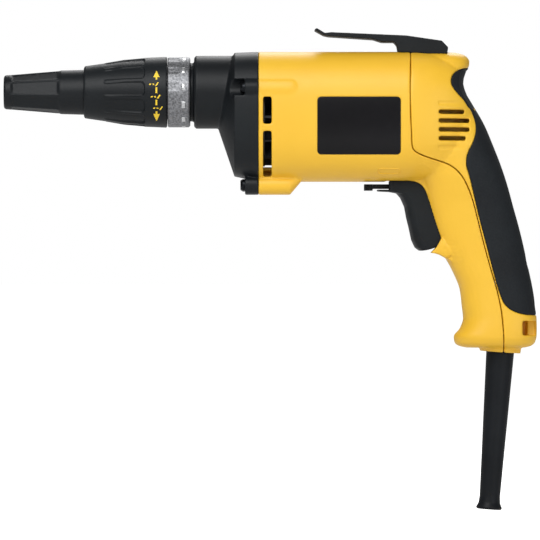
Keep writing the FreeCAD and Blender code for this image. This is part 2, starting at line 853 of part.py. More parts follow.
def wheel_solid(teeth, phase, front, back, z):
    rim = Part.makePolygon(involute_wheel(teeth, phase) + involute_wheel(teeth, phase)[:1])
    blank = Part.Face(rim).extrude(Vector(back - front, 0, 0))
    blank.translate(Vector(front, 0, z))
    return blank


def jaws(front, back):
    """Clutch jaws in a ring round the spindle axis."""
    count, angle = int(mm("jaw_count")), mm("jaw_angle")
    starts = [360 * index / count for index in range(count)]
    return [sector(mm("jaw_inner_radius"), mm("jaw_radius"), start, start + angle, front, back, 0)
            for start in starts]


# Nose cone: a fluted taper on a keyed, threaded tail.
TAIL_START = "(collar_setback + nose_tail_start)"
TAIL_BACK = f"({TAIL_START} + nose_tail_length)"
TAIL_BORE = "(guide_radius + sliding_gap)"
TAIL_STEP = "(guide_front - thread_pitch - 2 * seat_gap)"
WAIST = f"({NOSE_TIP} + nose_waist)"

nose = turned("nose_turning", [
    (NOSE_TIP, "nose_mouth_radius"), (NOSE_TIP, "nose_tip_radius - nose_rim"),
    (f"{NOSE_TIP} + nose_rim / 3", "nose_tip_radius - nose_rim / 3"),
    (f"{NOSE_TIP} + nose_rim", "nose_tip_radius"), (WAIST, "nose_waist_radius"),
    ("collar_setback", "nose_back_radius"), (TAIL_START, "nose_back_radius"),
    (TAIL_START, "nose_tail_radius"), (TAIL_BACK, "nose_tail_radius"), (TAIL_BACK, TAIL_BORE),
    (TAIL_STEP, TAIL_BORE), (TAIL_STEP, "nose_inside_radius"),
    (f"{NOSE_TIP} + nose_mouth_length", "nose_inside_radius"),
    (f"{NOSE_TIP} + nose_mouth_length", "nose_mouth_radius"),
])
FLUTE_START = f"({NOSE_TIP} + nose_flute_start)"
FLUTE_END = f"({FLUTE_START} + nose_flute_length)"
NOSE_SLOPE = "((nose_waist_radius - nose_tip_radius) / (nose_waist - nose_rim))"
FLUTE_LOW = f"(nose_tip_radius + {NOSE_SLOPE} * (nose_flute_start - nose_rim))"
FLUTE_HIGH = f"({FLUTE_LOW} + {NOSE_SLOPE} * nose_flute_length)"
fluted(nose, "nose_flute", [
    (FLUTE_START, f"{FLUTE_LOW} + overrun"), (FLUTE_START, FLUTE_LOW),
    (f"{FLUTE_START} + nose_flute_depth", f"{FLUTE_LOW} - nose_flute_depth"),
    (f"{FLUTE_END} - nose_flute_depth", f"{FLUTE_HIGH} - nose_flute_depth"),
    (FLUTE_END, FLUTE_HIGH), (FLUTE_END, f"{FLUTE_HIGH} + overrun"),
], "nose_flute_width", "nose_flute_count")
THREAD_START = f"({TAIL_START} + thread_root)"
ROOT_HALF = "(thread_root / 2)"
CREST_HALF = "(thread_crest / 2)"
threaded(nose, "nose_thread", [
    (f"{THREAD_START} - {ROOT_HALF}", "nose_tail_radius - thread_sink"),
    (f"{THREAD_START} + {ROOT_HALF}", "nose_tail_radius - thread_sink"),
    (f"{THREAD_START} + {CREST_HALF}", "nose_tail_radius + thread_height"),
    (f"{THREAD_START} - {CREST_HALF}", "nose_tail_radius + thread_height"),
])
KEYWAY = "(guide_radius + key_height + sliding_gap)"
KEYWAY_HALF = "(key_width / 2 + sliding_gap)"
nose_keyway = box("nose_keyway", (TAIL_STEP, f"-{KEYWAY}", f"-{KEYWAY_HALF}"),
                  (f"{TAIL_BACK} + overrun", KEYWAY, KEYWAY_HALF))
keep(cut("nose_keyed", nose, nose_keyway), "nose_cone")

# Depth collar: turned by hand, it screws the nose cone in and out.
LIP_BACK = "(collar_setback + collar_lip_length)"
LIP_BORE = "(nose_back_radius + sliding_gap)"
RIB_BACK = f"({COLLAR_BACK} - snap_rib_setback)"
RIB_FRONT = f"({RIB_BACK} - snap_rib_length)"
RIB_BORE = "(collar_bore_radius - snap_rib_height)"
SWELL = "(collar_back_radius - collar_front_radius)"
collar_rim = [(f"collar_setback + {along} * collar_length", f"collar_front_radius + {swell} * {SWELL}")
              for along, swell in COLLAR_SHARES]
collar = turned("collar_turning", collar_rim + [
    (COLLAR_BACK, "collar_bore_radius"), (RIB_BACK, "collar_bore_radius"), (RIB_BACK, RIB_BORE),
    (RIB_FRONT, RIB_BORE), (RIB_FRONT, "collar_bore_radius"), (LIP_BACK, "collar_bore_radius"),
    (LIP_BACK, LIP_BORE), ("collar_setback", LIP_BORE),
])
GROOVE_FROM, GROOVE_TO = (f"(collar_setback + {share} * collar_length)" for share in COLLAR_FLUTE_SHARES)
RIM_FROM, RIM_TO = (f"(collar_front_radius + {swell} * {SWELL})" for along, swell in COLLAR_SHARES
                    if along in COLLAR_FLUTE_SHARES)
MIDDLE_AT = f"(collar_setback + {COLLAR_SHARES[2][0]} * collar_length)"
MIDDLE_RIM = f"(collar_front_radius + {COLLAR_SHARES[2][1]} * {SWELL})"
fluted(collar, "collar_flute", [
    (f"{GROOVE_FROM} - collar_flute_depth", f"{RIM_FROM} + overrun"),
    (f"{GROOVE_FROM} - collar_flute_depth", RIM_FROM),
    (f"{GROOVE_FROM} + 2 * collar_flute_depth", f"{RIM_FROM} - collar_flute_depth / 3"),
    (MIDDLE_AT, f"{MIDDLE_RIM} - collar_flute_depth"),
    (f"{GROOVE_TO} - collar_flute_depth", f"{RIM_TO} - collar_flute_depth"),
    (GROOVE_TO, RIM_TO), (GROOVE_TO, f"{RIM_TO} + overrun"),
], "collar_flute_width", "collar_flute_count")
NUT_START = f"({THREAD_START} + thread_pitch / 2)"
threaded(collar, "collar_thread", [
    (f"{NUT_START} - {ROOT_HALF}", "collar_bore_radius + thread_sink"),
    (f"{NUT_START} + {ROOT_HALF}", "collar_bore_radius + thread_sink"),
    (f"{NUT_START} + {CREST_HALF}", "collar_bore_radius - thread_height"),
    (f"{NUT_START} - {CREST_HALF}", "collar_bore_radius - thread_height"),
])
keep(collar, "depth_collar")

# Detent ring: a cast ring on the guide tube whose sleeve keeps the collar from sliding off.
SLEEVE_FRONT = f"({RING_FRONT} - ring_sleeve_length)"
SLEEVE_RADIUS = "(collar_bore_radius - sliding_gap)"
GROOVE_RADIUS = f"({RIB_BORE} - sliding_gap)"
RING_BORE = "(guide_radius + running_gap)"
ring = turned("ring_turning", [
    (SLEEVE_FRONT, RING_BORE), (RING_BACK, RING_BORE), (RING_BACK, "ring_radius - ring_edge"),
    (f"{RING_BACK} - ring_edge", "ring_radius"), (f"{RING_FRONT} + ring_edge / 2", "ring_radius"),
    (RING_FRONT, "ring_radius - ring_edge / 2"), (RING_FRONT, SLEEVE_RADIUS),
    (f"{RIB_BACK} + sliding_gap", SLEEVE_RADIUS), (f"{RIB_BACK} + sliding_gap", GROOVE_RADIUS),
    (f"{RIB_FRONT} - sliding_gap", GROOVE_RADIUS), (f"{RIB_FRONT} - sliding_gap", SLEEVE_RADIUS),
    (SLEEVE_FRONT, SLEEVE_RADIUS),
])
fluted(ring, "ring_gap", [
    (f"{RING_FRONT} - overrun", "ring_radius + overrun"),
    (f"{RING_FRONT} - overrun", "ring_radius - ring_gap_depth"),
    (f"{RING_FRONT} + ring_lug_length", "ring_radius - ring_gap_depth"),
    (f"{RING_FRONT} + ring_lug_length + ring_gap_depth", "ring_radius"),
    (f"{RING_FRONT} + ring_lug_length + ring_gap_depth", "ring_radius + overrun"),
], "ring_gap_width", "ring_lug_count")
keep(ring, "detent_ring")

CLIP_BACK = f"({SLEEVE_FRONT} - running_gap)"
CLIP_FRONT = f"({CLIP_BACK} - circlip_width)"
CLIP_BORE = "(guide_radius - circlip_depth)"
circlip = tube("circlip_ring", CLIP_FRONT, CLIP_BACK, CLIP_BORE, "circlip_radius")
circlip_gap = box("circlip_gap", (f"{CLIP_FRONT} - overrun", "-key_width / 2 - sliding_gap", "0"),
                  (f"{CLIP_BACK} + overrun", "key_width / 2 + sliding_gap", "circlip_radius + overrun"))
keep(cut("circlip_cut", circlip, circlip_gap), "ring_circlip")


# Gear case: guide tube, neck, flare and screw bosses in one casting.
def gear_case_shape():
    joint, neck_front = mm(JOINT), mm(NECK_FRONT)
    wall, gap = mm("wall"), mm("seat_gap")
    side_y, side_z = side_axis()
    foot_y, foot_z = foot_axis()
    boss_front = joint - mm("side_boss_length")
    cavity_front = neck_front + mm("neck_wall")
    key_reach, key_half = mm("guide_radius + key_height"), mm("key_width") / 2
    solid = flare(0.0, neck_front).fuse([
        rod(mm("neck_groove_radius"), Vector(mm(RING_BACK), 0, 0), Vector(neck_front + wall, 0, 0)),
        rod(mm("guide_radius"), Vector(mm("guide_front"), 0, 0), Vector(neck_front + wall, 0, 0)),
        span(Vector(mm("guide_front"), -key_reach, -key_half),
             Vector(mm(CLIP_FRONT) - gap, key_reach, key_half)),
    ])
    pockets, posts, bosses, holes = [], [], [], []
    for side in (-1, 1):
        side_line = Vector(0, side * side_y, side_z)
        foot_line = Vector(0, side * foot_y, foot_z)
        pockets.append(rod(mm("side_boss_radius"), side_line + Vector(neck_front, 0, 0),
                           side_line + Vector(boss_front, 0, 0)))
        posts.append(rod(mm("side_boss_radius") + wall / 2, side_line + Vector(boss_front - 2 * wall, 0, 0),
                         side_line + Vector(joint + 2 * OVERRUN, 0, 0)))
        for line, radius in ((side_line, mm("side_boss_radius")), (foot_line, mm("foot_boss_radius"))):
            bosses.append(rod(radius, line + Vector(boss_front, 0, 0), line + Vector(joint, 0, 0)))
            holes.append(rod(mm("case_screw_radius + seat_gap"), line + Vector(boss_front - OVERRUN, 0, 0),
                             line + Vector(joint + OVERRUN, 0, 0)))
    hollow = flare(wall, cavity_front, OVERRUN).cut(posts)
    bore = rod(mm("guide_bore_radius"), Vector(mm("guide_front") - OVERRUN, 0, 0),
               Vector(cavity_front + OVERRUN, 0, 0))
    groove = ring_solid(mm(CLIP_BORE), mm("circlip_radius"), mm(CLIP_FRONT) - mm("running_gap"),
                        mm(CLIP_BACK) + mm("running_gap"), 0)
    return solid.cut(pockets).fuse(bosses, CLOSE).cut(hollow).cut(holes + [bore, groove])


keep(feature("gear_case_casting", gear_case_shape()), "gear_case")


# Motor housing and handle cover: one moulded skin, hollowed, then parted along the seam.
def cover_region(shift):
    edge = [(place.x - shift, place.z - shift) for place in spine_places(SEAM_SHARES)]
    far = mm(SEAM) + 3 * FAR
    return prism(edge + [(far, edge[-1][1]), (far, edge[0][1])], -FAR, FAR, curved=True)


def pad_region(grow):
    edge = [(place.x - grow, place.z) for place in spine_places(PAD_SHARES)]
    far = mm(SEAM) + 3 * FAR
    return prism(edge + [(far, edge[-1][1]), (far, edge[0][1])], -FAR, FAR, curved=True)


def plate_region(gap):
    """A rounded rectangle through the barrel's sides."""
    front = mm(JOINT) + mm("plate_setback") - gap
    back = front + mm("plate_length") + 2 * gap
    top = gap - mm("plate_drop")
    bottom = top - mm("plate_height") - 2 * gap
    block = span(Vector(front, -FAR, bottom), Vector(back, FAR, top))
    return block.makeFillet(mm("plate_corner") + gap, [edge for edge in block.Edges
                                                       if abs(edge.tangentAt(edge.FirstParameter).y) > 0.5])


def half_space(side):
    low, high = (-FAR, 0) if side < 0 else (0, FAR)
    return span(Vector(mm(NOSE_TIP), low, -4 * FAR), Vector(mm(SEAM) + 3 * FAR, high, FAR))


def vent_slots():
    """Cooling slots: two upright ones behind the joint, and a row of level ones in the cover."""
    front = mm(JOINT) + mm("front_vent_setback")
    width = mm("front_vent_width")
    slots = []
    top = -mm("front_vent_drop")
    for length in (mm("upper_vent_length"), mm("lower_vent_length")):
        low, high = Vector(front, -FAR, top - length), Vector(front + width, FAR, top)
        slots.append(span(low, high))
        top -= length + mm("vent_bridge")
    start = mm(SEAM) + mm("rear_vent_setback")
    half, depth = mm("rear_vent_height") / 2, mm("rear_vent_depth")
    for index, share in enumerate(REAR_VENT_SHARES):
        z = -mm("rear_vent_drop") - index * mm("rear_vent_pitch")
        end = mm(SEAM) + share * mm("rear_reach")
        for side in (-1, 1):
            outer, inner = side * FAR, side * (mm("barrel_width") / 2 - depth)
            low, high = sorted((outer, inner))
            slots.append(span(Vector(start, low, z - half), Vector(end, high, z + half)))
    return slots


COVER_SCREWS = (("cover_screw_upper", "cover_upper_rear"), ("cover_screw_lower", "rear_reach"))


def screw_lines():
    """Axes of the two screws that hold the cover: height and seat of each head."""
    lines = []
    for drop, rear in COVER_SCREWS:
        lines.append((-mm("barrel_drop") - mm(drop), mm(SEAM) + mm(rear) - mm("cover_screw_recess")))
    return lines


def hook_lines():
    start = mm(SEAM) + mm("hook_screw_front")
    return [start, start + mm("hook_screw_pitch")]


def inlet_axis():
    """The cord sleeve's axis: where it leaves the foot of the handle, and its direction."""
    tilt = math.radians(mm("sleeve_tilt"))
    along = Vector(-math.sin(tilt), 0, -math.cos(tilt))
    return Vector(mm(f"{SEAM} + sleeve_setback"), 0, height_at(-1)), along


def shell_shape():
    """The whole moulded shell before it is parted."""
    wall = mm("wall")
    outer = skin_outer
    exit_point, along = inlet_axis()
    collar_ring = rod(mm("inlet_ring_radius"), exit_point - along * wall,
                      exit_point + along * mm("inlet_ring_height"))
    lip_edge = [(place.x, place.z) for place in spine_places(LIP_SHARES)]
    lip = prism(lip_edge, -mm("lip_width") / 2, mm("lip_width") / 2)
    outer = outer.fuse([collar_ring, lip])
    hollow = skin(wall, wall)
    solid = outer.cut(hollow)
    bosses = []
    for z, seat in screw_lines():
        bosses.append(rod(mm("cover_boss_radius"), Vector(mm(SEAM), 0, z), Vector(seat + 2 * wall, 0, z)))
    for x in hook_lines():
        bosses.append(rod(mm("hook_boss_radius"), Vector(x, 0, mm("barrel_top") - mm("hook_boss_depth")),
                          Vector(x, 0, mm("barrel_top"))))
    switch_x = mm(SWITCH_FRONT)
    switch_top = -mm("barrel_drop") - mm("switch_drop") - wall
    for side in (-1, 1):
        inner, far = side * (mm("switch_width") / 2 + mm("seat_gap")), side * mm("grip_width")
        low, high = sorted((inner, far))
        bosses.append(span(Vector(switch_x, low, switch_top - mm("switch_height") + 2 * wall),
                           Vector(switch_x + mm("switch_rib"), high, switch_top)))
    clamp_x, clamp_z = mm(SEAM) + mm("clamp_setback"), -mm("barrel_drop") - mm("clamp_drop")
    clamp_reach, clamp_tall = mm("clamp_width") / 2, mm("clamp_height") / 2
    bosses.append(span(Vector(clamp_x - 2 * mm("clamp_rib"), -clamp_reach, clamp_z - clamp_tall),
                       Vector(clamp_x, clamp_reach, clamp_z + clamp_tall)))
    solid = solid.fuse([boss.common(outer) for boss in bosses])
    holes = [rod(mm("sleeve_top_radius") + mm("seat_gap"), exit_point - along * 2 * wall,
                 exit_point + along * mm("sleeve_head_radius"))]
    for z, seat in screw_lines():
        tip = Vector(seat - mm("cover_screw_length"), 0, z)
        holes.append(rod(mm("case_screw_radius"), tip, Vector(seat, 0, z)))
        holes.append(rod(mm("case_head_radius + seat_gap"), Vector(seat, 0, z), Vector(seat + FAR, 0, z)))
    for x in hook_lines():
        holes.append(rod(mm("hook_screw_radius"), Vector(x, 0, mm("barrel_top - hook_boss_depth") - OVERRUN),
                         Vector(x, 0, mm("barrel_top") + OVERRUN)))
    clamp_half = Vector(0, 0, mm("clamp_height / 2 + overrun"))
    clamp_middle = Vector(clamp_x, 0, clamp_z)
    holes.append(rod(mm("clamp_groove_radius"), clamp_middle - clamp_half, clamp_middle + clamp_half))
    for side in (-1, 1):
        y = side * mm("clamp_screw_spread")
        holes.append(rod(mm("clamp_screw_radius"), Vector(clamp_x - mm("clamp_screw_length"), y, clamp_z),
                         Vector(clamp_x + OVERRUN, y, clamp_z)))
    return solid.cut(holes + vent_slots() + strap_cuts())


def strap_cuts():
    """A narrow slot through the foot of the grip with a sunk field behind it on each side."""
    rear = mm(SEAM) + mm("rear_reach")
    start = rear - mm("strap_slot_setback")
    low = height_at(-1) + mm("strap_slot_rise") - mm("strap_slot_height") / 2
    high = low + mm("strap_slot_height")
    slot = span(Vector(start, -FAR, low), Vector(start + mm("strap_slot_width"), FAR, high))
    end = start + mm("strap_slot_width") + mm("strap_recess_length")
    depth_y = mm("grip_width") / 2 - mm("strap_recess_depth")
    field = span(Vector(start, -FAR, low), Vector(end, -depth_y, high))
    return [slot] + both_sides(field)


skin_outer = skin(0.0)
shell = shell_shape()
pad_floor = skin(mm("pad_thickness"))
plate_floor = barrel(mm("plate_thickness"), 0.0)


def motor_housing_shape():
    front = shell.cut(cover_region(mm("seam_gap")))
    joint = mm(JOINT)
    side_y, side_z = side_axis()
    foot_y, foot_z = foot_axis()
    bosses, holes = [], []
    boss_end = joint + mm("side_boss_tail")
    foot_end = joint + mm("foot_boss_tail")
    hollow = barrel(mm("wall"), mm("wall"))
    for side in (-1, 1):
        line = Vector(0, side * side_y, side_z)
        inner_end = joint + mm("side_boss_length + wall")
        pad = rod(mm("side_boss_radius"), line + Vector(joint, 0, 0), line + Vector(boss_end, 0, 0))
        nub = Part.makeSphere(mm("side_boss_radius"), line + Vector(boss_end, 0, 0))
        bosses += [pad.cut(hollow), nub.cut(hollow)]
        bosses.append(rod(mm("side_boss_radius"), line + Vector(joint, 0, 0),
                          line + Vector(inner_end, 0, 0)))
        foot = Vector(0, side * foot_y, foot_z)
        tip = Vector(foot_end + mm("foot_boss_taper"), side * foot_y, foot_z + mm("foot_boss_radius"))
        taper = Part.makeLoft([
            Part.Wire([Part.Circle(center, Vector(1, 0, 0), radius).toShape()])
            for center, radius in ((foot + Vector(foot_end, 0, 0), mm("foot_boss_radius")),
                                   (tip, mm("foot_boss_radius") / 3))], True, True)
        post = rod(mm("foot_boss_radius"), foot + Vector(joint, 0, 0), foot + Vector(foot_end, 0, 0))
        bosses += [post.cut(hollow), taper.cut(hollow)]
        screw_end = joint - mm("side_boss_length") + mm("case_screw_length")
        for axis in (line, foot):
            holes.append(rod(mm("case_screw_radius"), axis + Vector(joint - OVERRUN, 0, 0),
                             axis + Vector(screw_end, 0, 0)))
    half = mm("wall") / 2
    vent_front = joint + mm("front_vent_setback")
    vent_back = vent_front + mm("front_vent_width")
    fan_foot = -mm(f"{MOTOR_DROP} + fan_radius")
    bosses.append(span(Vector(vent_front - half, -half, half - mm("barrel_drop")),
                       Vector(vent_back + half, half, fan_foot - half)))
    solid = front.fuse(bosses, CLOSE)
    slot_half = mm("trigger_width") / 2 + mm("sliding_gap")
    slot_top = mm("slot_rise") - mm("barrel_drop")
    slot_front = mm(TRIGGER_BACK) - mm("trigger_reach") - OVERRUN
    slot = span(Vector(slot_front, -slot_half, slot_top - mm("slot_height")),
                Vector(mm(SWITCH_FRONT), slot_half, slot_top))
    pivot = Vector(mm(SEAM) + mm("lever_pivot"), 0, 0)
    pin_hole = rod(mm("lever_pin_radius"), pivot + Vector(0, 0, -mm("barrel_drop") - OVERRUN),
                   pivot + Vector(0, 0, -mm("barrel_drop") + mm("wall") + OVERRUN))
    sunk = plate_region(mm("running_gap")).cut(plate_floor)
    return solid.cut(holes + [slot, pin_hole, sunk])


def handle_cover_shape():
    rear = shell.common(cover_region(0.0))
    return rear.cut(pad_region(mm("running_gap")).cut(pad_floor))


def grip_pad_shape():
    pad = skin_outer.common(pad_region(0.0)).cut(pad_floor)
    return pad.cut([rod(mm("case_head_radius + seat_gap"), Vector(seat, 0, z), Vector(seat + FAR, 0, z))
                    for z, seat in screw_lines()])


def plate_shape(side):
    sheet_metal = barrel(-mm("plate_proud"), 0.0).cut(plate_floor)
    return sheet_metal.common(plate_region(0.0)).common(half_space(side))


keep(feature("motor_housing_shell", motor_housing_shape()), "motor_housing")
keep(feature("handle_cover_shell", handle_cover_shape()), "handle_cover")
keep(feature("grip_pad_skin", grip_pad_shape()), "grip_pad")
keep(feature("left_plate_sheet", plate_shape(-1)), "label_plate_left")
keep(feature("right_plate_sheet", plate_shape(1)), "label_plate_right")

# Screws of the gear case and the handle cover.
HEAD_SEAT = f"({JOINT} - side_boss_length)"
case_screws = []
for index, (side, spread, rise) in enumerate((
        ("", "(barrel_width / 2 - side_boss_inset)", "side_boss_rise"),
        ("-", "(barrel_width / 2 - side_boss_inset)", "side_boss_rise"),
        ("", "foot_boss_spread", "-(barrel_drop + foot_boss_drop)"),
        ("-", "foot_boss_spread", "-(barrel_drop + foot_boss_drop)"))):
    case_screws.append(screw(f"case_screw_{index}", "case_head_radius", "case_head_height",
                             "case_screw_radius", "case_screw_length", HEAD_SEAT, side + spread, rise))
keep(group("case_screw_group", case_screws), "gear_case_screws")

REVERSED = Rotation(Vector(0, 0, 1), 180)
cover_screws = []
for index, (drop, rear) in enumerate(COVER_SCREWS):
    cover_screws.append(screw(f"cover_screw_{index}", "case_head_radius", "case_head_height",
                              "case_screw_radius", "cover_screw_length",
                              f"{SEAM} + {rear} - cover_screw_recess", "0", f"-(barrel_drop + {drop})",
                              REVERSED))
keep(group("cover_screw_group", cover_screws), "handle_cover_screws")

# Belt hook: a moulded hook on the barrel's crown, with its two screws.
HOOK_TIP = f"({SEAM} - hook_lead)"
hook_outline = [(f"{HOOK_TIP} + {along} * hook_length", f"barrel_top + {rise} * hook_rise")
                for along, rise in HOOK_SHARES]
hook = padded("hook_blank", hook_outline, "hook_width")
hook_bed = feature("hook_bed", skin_outer)
hook_seated = cut("hook_seated", hook, hook_bed)
hook_cuts = []
HOOK_SEAT = "(barrel_top + hook_rise - hook_screw_sink)"
for index, offset in enumerate(("hook_screw_front", "hook_screw_front + hook_screw_pitch")):
    hook_cuts.append(cylinder(f"hook_hole_{index}", "hook_screw_radius", "hook_rise + overrun",
                              f"{SEAM} + {offset}", "0", "barrel_top - overrun", "Z"))
    hook_cuts.append(cylinder(f"hook_sink_{index}", "hook_head_radius + running_gap", "hook_rise",
                              f"{SEAM} + {offset}", "0", HOOK_SEAT, "Z"))
keep(cut("hook_cut", hook_seated, *hook_cuts), "belt_hook")
DOWNWARD = Rotation(Vector(0, 1, 0), 90)
hook_screws = [screw(f"hook_screw_{index}", "hook_head_radius", "hook_head_height", "hook_screw_radius",
                     "hook_screw_length", f"{SEAM} + {offset}", "0", HOOK_SEAT, DOWNWARD)
               for index, offset in enumerate(("hook_screw_front", "hook_screw_front + hook_screw_pitch"))]
keep(group("hook_screw_group", hook_screws), "hook_screws")

# Spindle with its bush, seal and bit holder.
PILOT_BACK = "(jaw_front + jaw_thickness + jaw_height - jaw_recess_depth)"
PILOT_FRONT = f"({PILOT_BACK} - pilot_depth)"
spindle_turning = turned("spindle_turning", [
    ("spindle_front", "0"), ("spindle_front", "spindle_radius"), ("jaw_front", "spindle_radius"),
    ("jaw_front", "jaw_radius"), ("jaw_front + jaw_thickness", "jaw_radius"),
    ("jaw_front + jaw_thickness", "jaw_recess_radius"), (PILOT_BACK, "jaw_recess_radius"),
    (PILOT_BACK, "arbor_radius + running_gap"), (PILOT_FRONT, "arbor_radius + running_gap"),
    (PILOT_FRONT, "0"),
])
jaw_ring = feature("spindle_jaw_ring", Part.Compound(jaws(mm("jaw_front + jaw_thickness"), mm(JAW_BACK))))


def hexagon(name, flats, length, x):
    """A six-sided bar along the X axis."""
    bar = doc.addObject("Part::Prism", name)
    bar.Polygon = 6
    bar.Placement = Placement(Vector(), AXIS_TURNS["X"])
    bind(bar, "Circumradius", f"({flats}) / sqrt(3)")
    bind(bar, "Height", length)
    bind(bar, "Placement.Base.x", x)
    return bar


shank_hole = hexagon("spindle_shank_hole", "shank_flats + 2 * shank_gap", "shank_length + overrun",
                     "spindle_front - overrun / 2")
spindle_jaws = fuse("spindle_with_jaws", spindle_turning, jaw_ring)
keep(cut("spindle_cut", spindle_jaws, shank_hole), "spindle")

holder_bar = turned("holder_turning", [
    ("0", "0"), ("0", "holder_radius - nose_rim"), ("nose_rim", "holder_radius"),
    ("spindle_front - holder_ring_setback - holder_ring_width", "holder_radius"),
    ("spindle_front - holder_ring_setback - holder_ring_width", "holder_radius - nose_rim"),
    ("spindle_front - holder_ring_setback", "holder_radius - nose_rim"),
    ("spindle_front - holder_ring_setback", "holder_radius"),
    ("spindle_front", "holder_radius"), ("spindle_front", "0"),
])
holder_shank = hexagon("holder_shank", "shank_flats", "shank_length", "spindle_front")
bit_socket = hexagon("bit_socket_hole", "socket_flats", "socket_depth + overrun", "-overrun")
magnet_hole = cylinder("magnet_hole", "magnet_radius", "magnet_length + seat_gap",
                       "socket_depth - seat_gap")
holder_blank = fuse("holder_with_shank", holder_bar, holder_shank)
keep(cut("holder_cut", holder_blank, bit_socket, magnet_hole), "bit_holder")
keep(cylinder("bit_magnet_slug", "magnet_radius", "magnet_length", "socket_depth"), "bit_magnet")
keep(tube("holder_ring_band", "spindle_front - holder_ring_setback - holder_ring_width + running_gap",
          "spindle_front - holder_ring_setback - running_gap", "holder_radius - nose_rim",
          "holder_ring_radius"), "bit_holder_ring")

BUSH_BACK = f"({NECK_FRONT} + neck_wall - bush_setback)"
BUSH_FRONT = f"({BUSH_BACK} - bush_length)"
keep(tube("spindle_bush_tube", BUSH_FRONT, BUSH_BACK, "spindle_radius + running_gap", "guide_bore_radius"),
     "spindle_bush")
keep(tube("spindle_seal_ring", f"{BUSH_FRONT} - seat_gap - seal_length", f"{BUSH_FRONT} - seat_gap",
          "spindle_radius + running_gap", "guide_bore_radius"), "spindle_seal")

# Clutch: a spring holds the spindle's jaws off the gear's until the bit is pushed home.
ARBOR_CLEAR = "(arbor_radius + running_gap)"
keep(tube("seat_washer_ring", PILOT_BACK, f"{PILOT_BACK} + seat_washer_thickness", ARBOR_CLEAR,
          "jaw_recess_radius - running_gap"), "spring_seat_washer")
SPRING_FRONT = f"({PILOT_BACK} + seat_washer_thickness)"
SPRING_BACK = f"({GEAR_FRONT} + gear_recess_depth)"
clutch_coil = coil(mm("clutch_spring_radius"), mm("clutch_spring_wire"), mm("clutch_spring_turns"),
                   mm(f"{SPRING_BACK} - {SPRING_FRONT} - clutch_spring_wire - 2 * running_gap"))
clutch_spring = keep(feature("clutch_coil", clutch_coil), "clutch_spring")
bind(clutch_spring, "Placement.Base.x", f"{SPRING_FRONT} + clutch_spring_wire / 2 + running_gap")


# Drive gear on its arbor, and the pinion on the motor shaft below it.
def drive_gear_shape():
    front, back = mm(GEAR_FRONT), mm(GEAR_BACK)
    wheel = wheel_solid(int(mm("gear_teeth")), math.pi, front, back, 0)
    wheel = wheel.fuse(jaws(mm(GEAR_JAW), front))
    bore = rod(mm("gear_bush_radius"), Vector(front - OVERRUN, 0, 0), Vector(back + OVERRUN, 0, 0))
    recess = rod(mm("jaw_recess_radius"), Vector(front - OVERRUN, 0, 0),
                 Vector(front + mm("gear_recess_depth"), 0, 0))
    return wheel.cut([bore, recess])


keep(feature("drive_gear_wheel", drive_gear_shape()), "drive_gear")
keep(tube("gear_bush_tube", f"{GEAR_FRONT} + gear_recess_depth", GEAR_BACK, ARBOR_CLEAR, "gear_bush_radius"),
     "gear_bush")
THRUST_FRONT = f"({GEAR_BACK} + seat_gap / 2)"
keep(tube("thrust_ring", THRUST_FRONT, f"{THRUST_FRONT} + thrust_washer_thickness", ARBOR_CLEAR,
          "thrust_washer_radius"), "thrust_washer")
keep(cylinder("arbor_pin", "arbor_radius", f"{PLATE_BACK} - arbor_tip", "arbor_tip"), "gear_arbor")


def bearing_plate_shape():
    front, back = mm(PLATE_FRONT), mm(PLATE_BACK)
    z = -mm(MOTOR_DROP)
    inset = mm("wall + seat_gap + shoulder_inset")
    blank = ruled([upright(x, mm("barrel_top") - inset, inset + mm("shoulder_drop") - mm("barrel_drop"),
                           mm("barrel_width") - 2 * inset, BARREL_POWER) for x in (front, back)])
    side_y, side_z = side_axis()
    cuts = []
    for side in (-1, 1):
        axis = Vector(0, side * side_y, side_z)
        cuts.append(rod(mm("side_boss_radius + wall / 2 + seat_gap"), axis + Vector(front - OVERRUN, 0, 0),
                        axis + Vector(back + OVERRUN, 0, 0)))
    seat_front = back - mm("front_bearing_width")
    cuts.append(rod(mm("front_bearing_radius"), Vector(seat_front, 0, z), Vector(back + OVERRUN, 0, z)))
    cuts.append(rod(mm("front_bearing_radius * 2 / 3"), Vector(front - OVERRUN, 0, z), Vector(back, 0, z)))
    cuts.append(rod(mm("arbor_radius"), Vector(front - OVERRUN, 0, 0), Vector(back + OVERRUN, 0, 0)))
    return blank.cut(cuts)


keep(feature("bearing_plate_casting", bearing_plate_shape()), "bearing_plate")

# Ball bearings of the motor shaft.
MOTOR_Z = f"(-{MOTOR_DROP})"


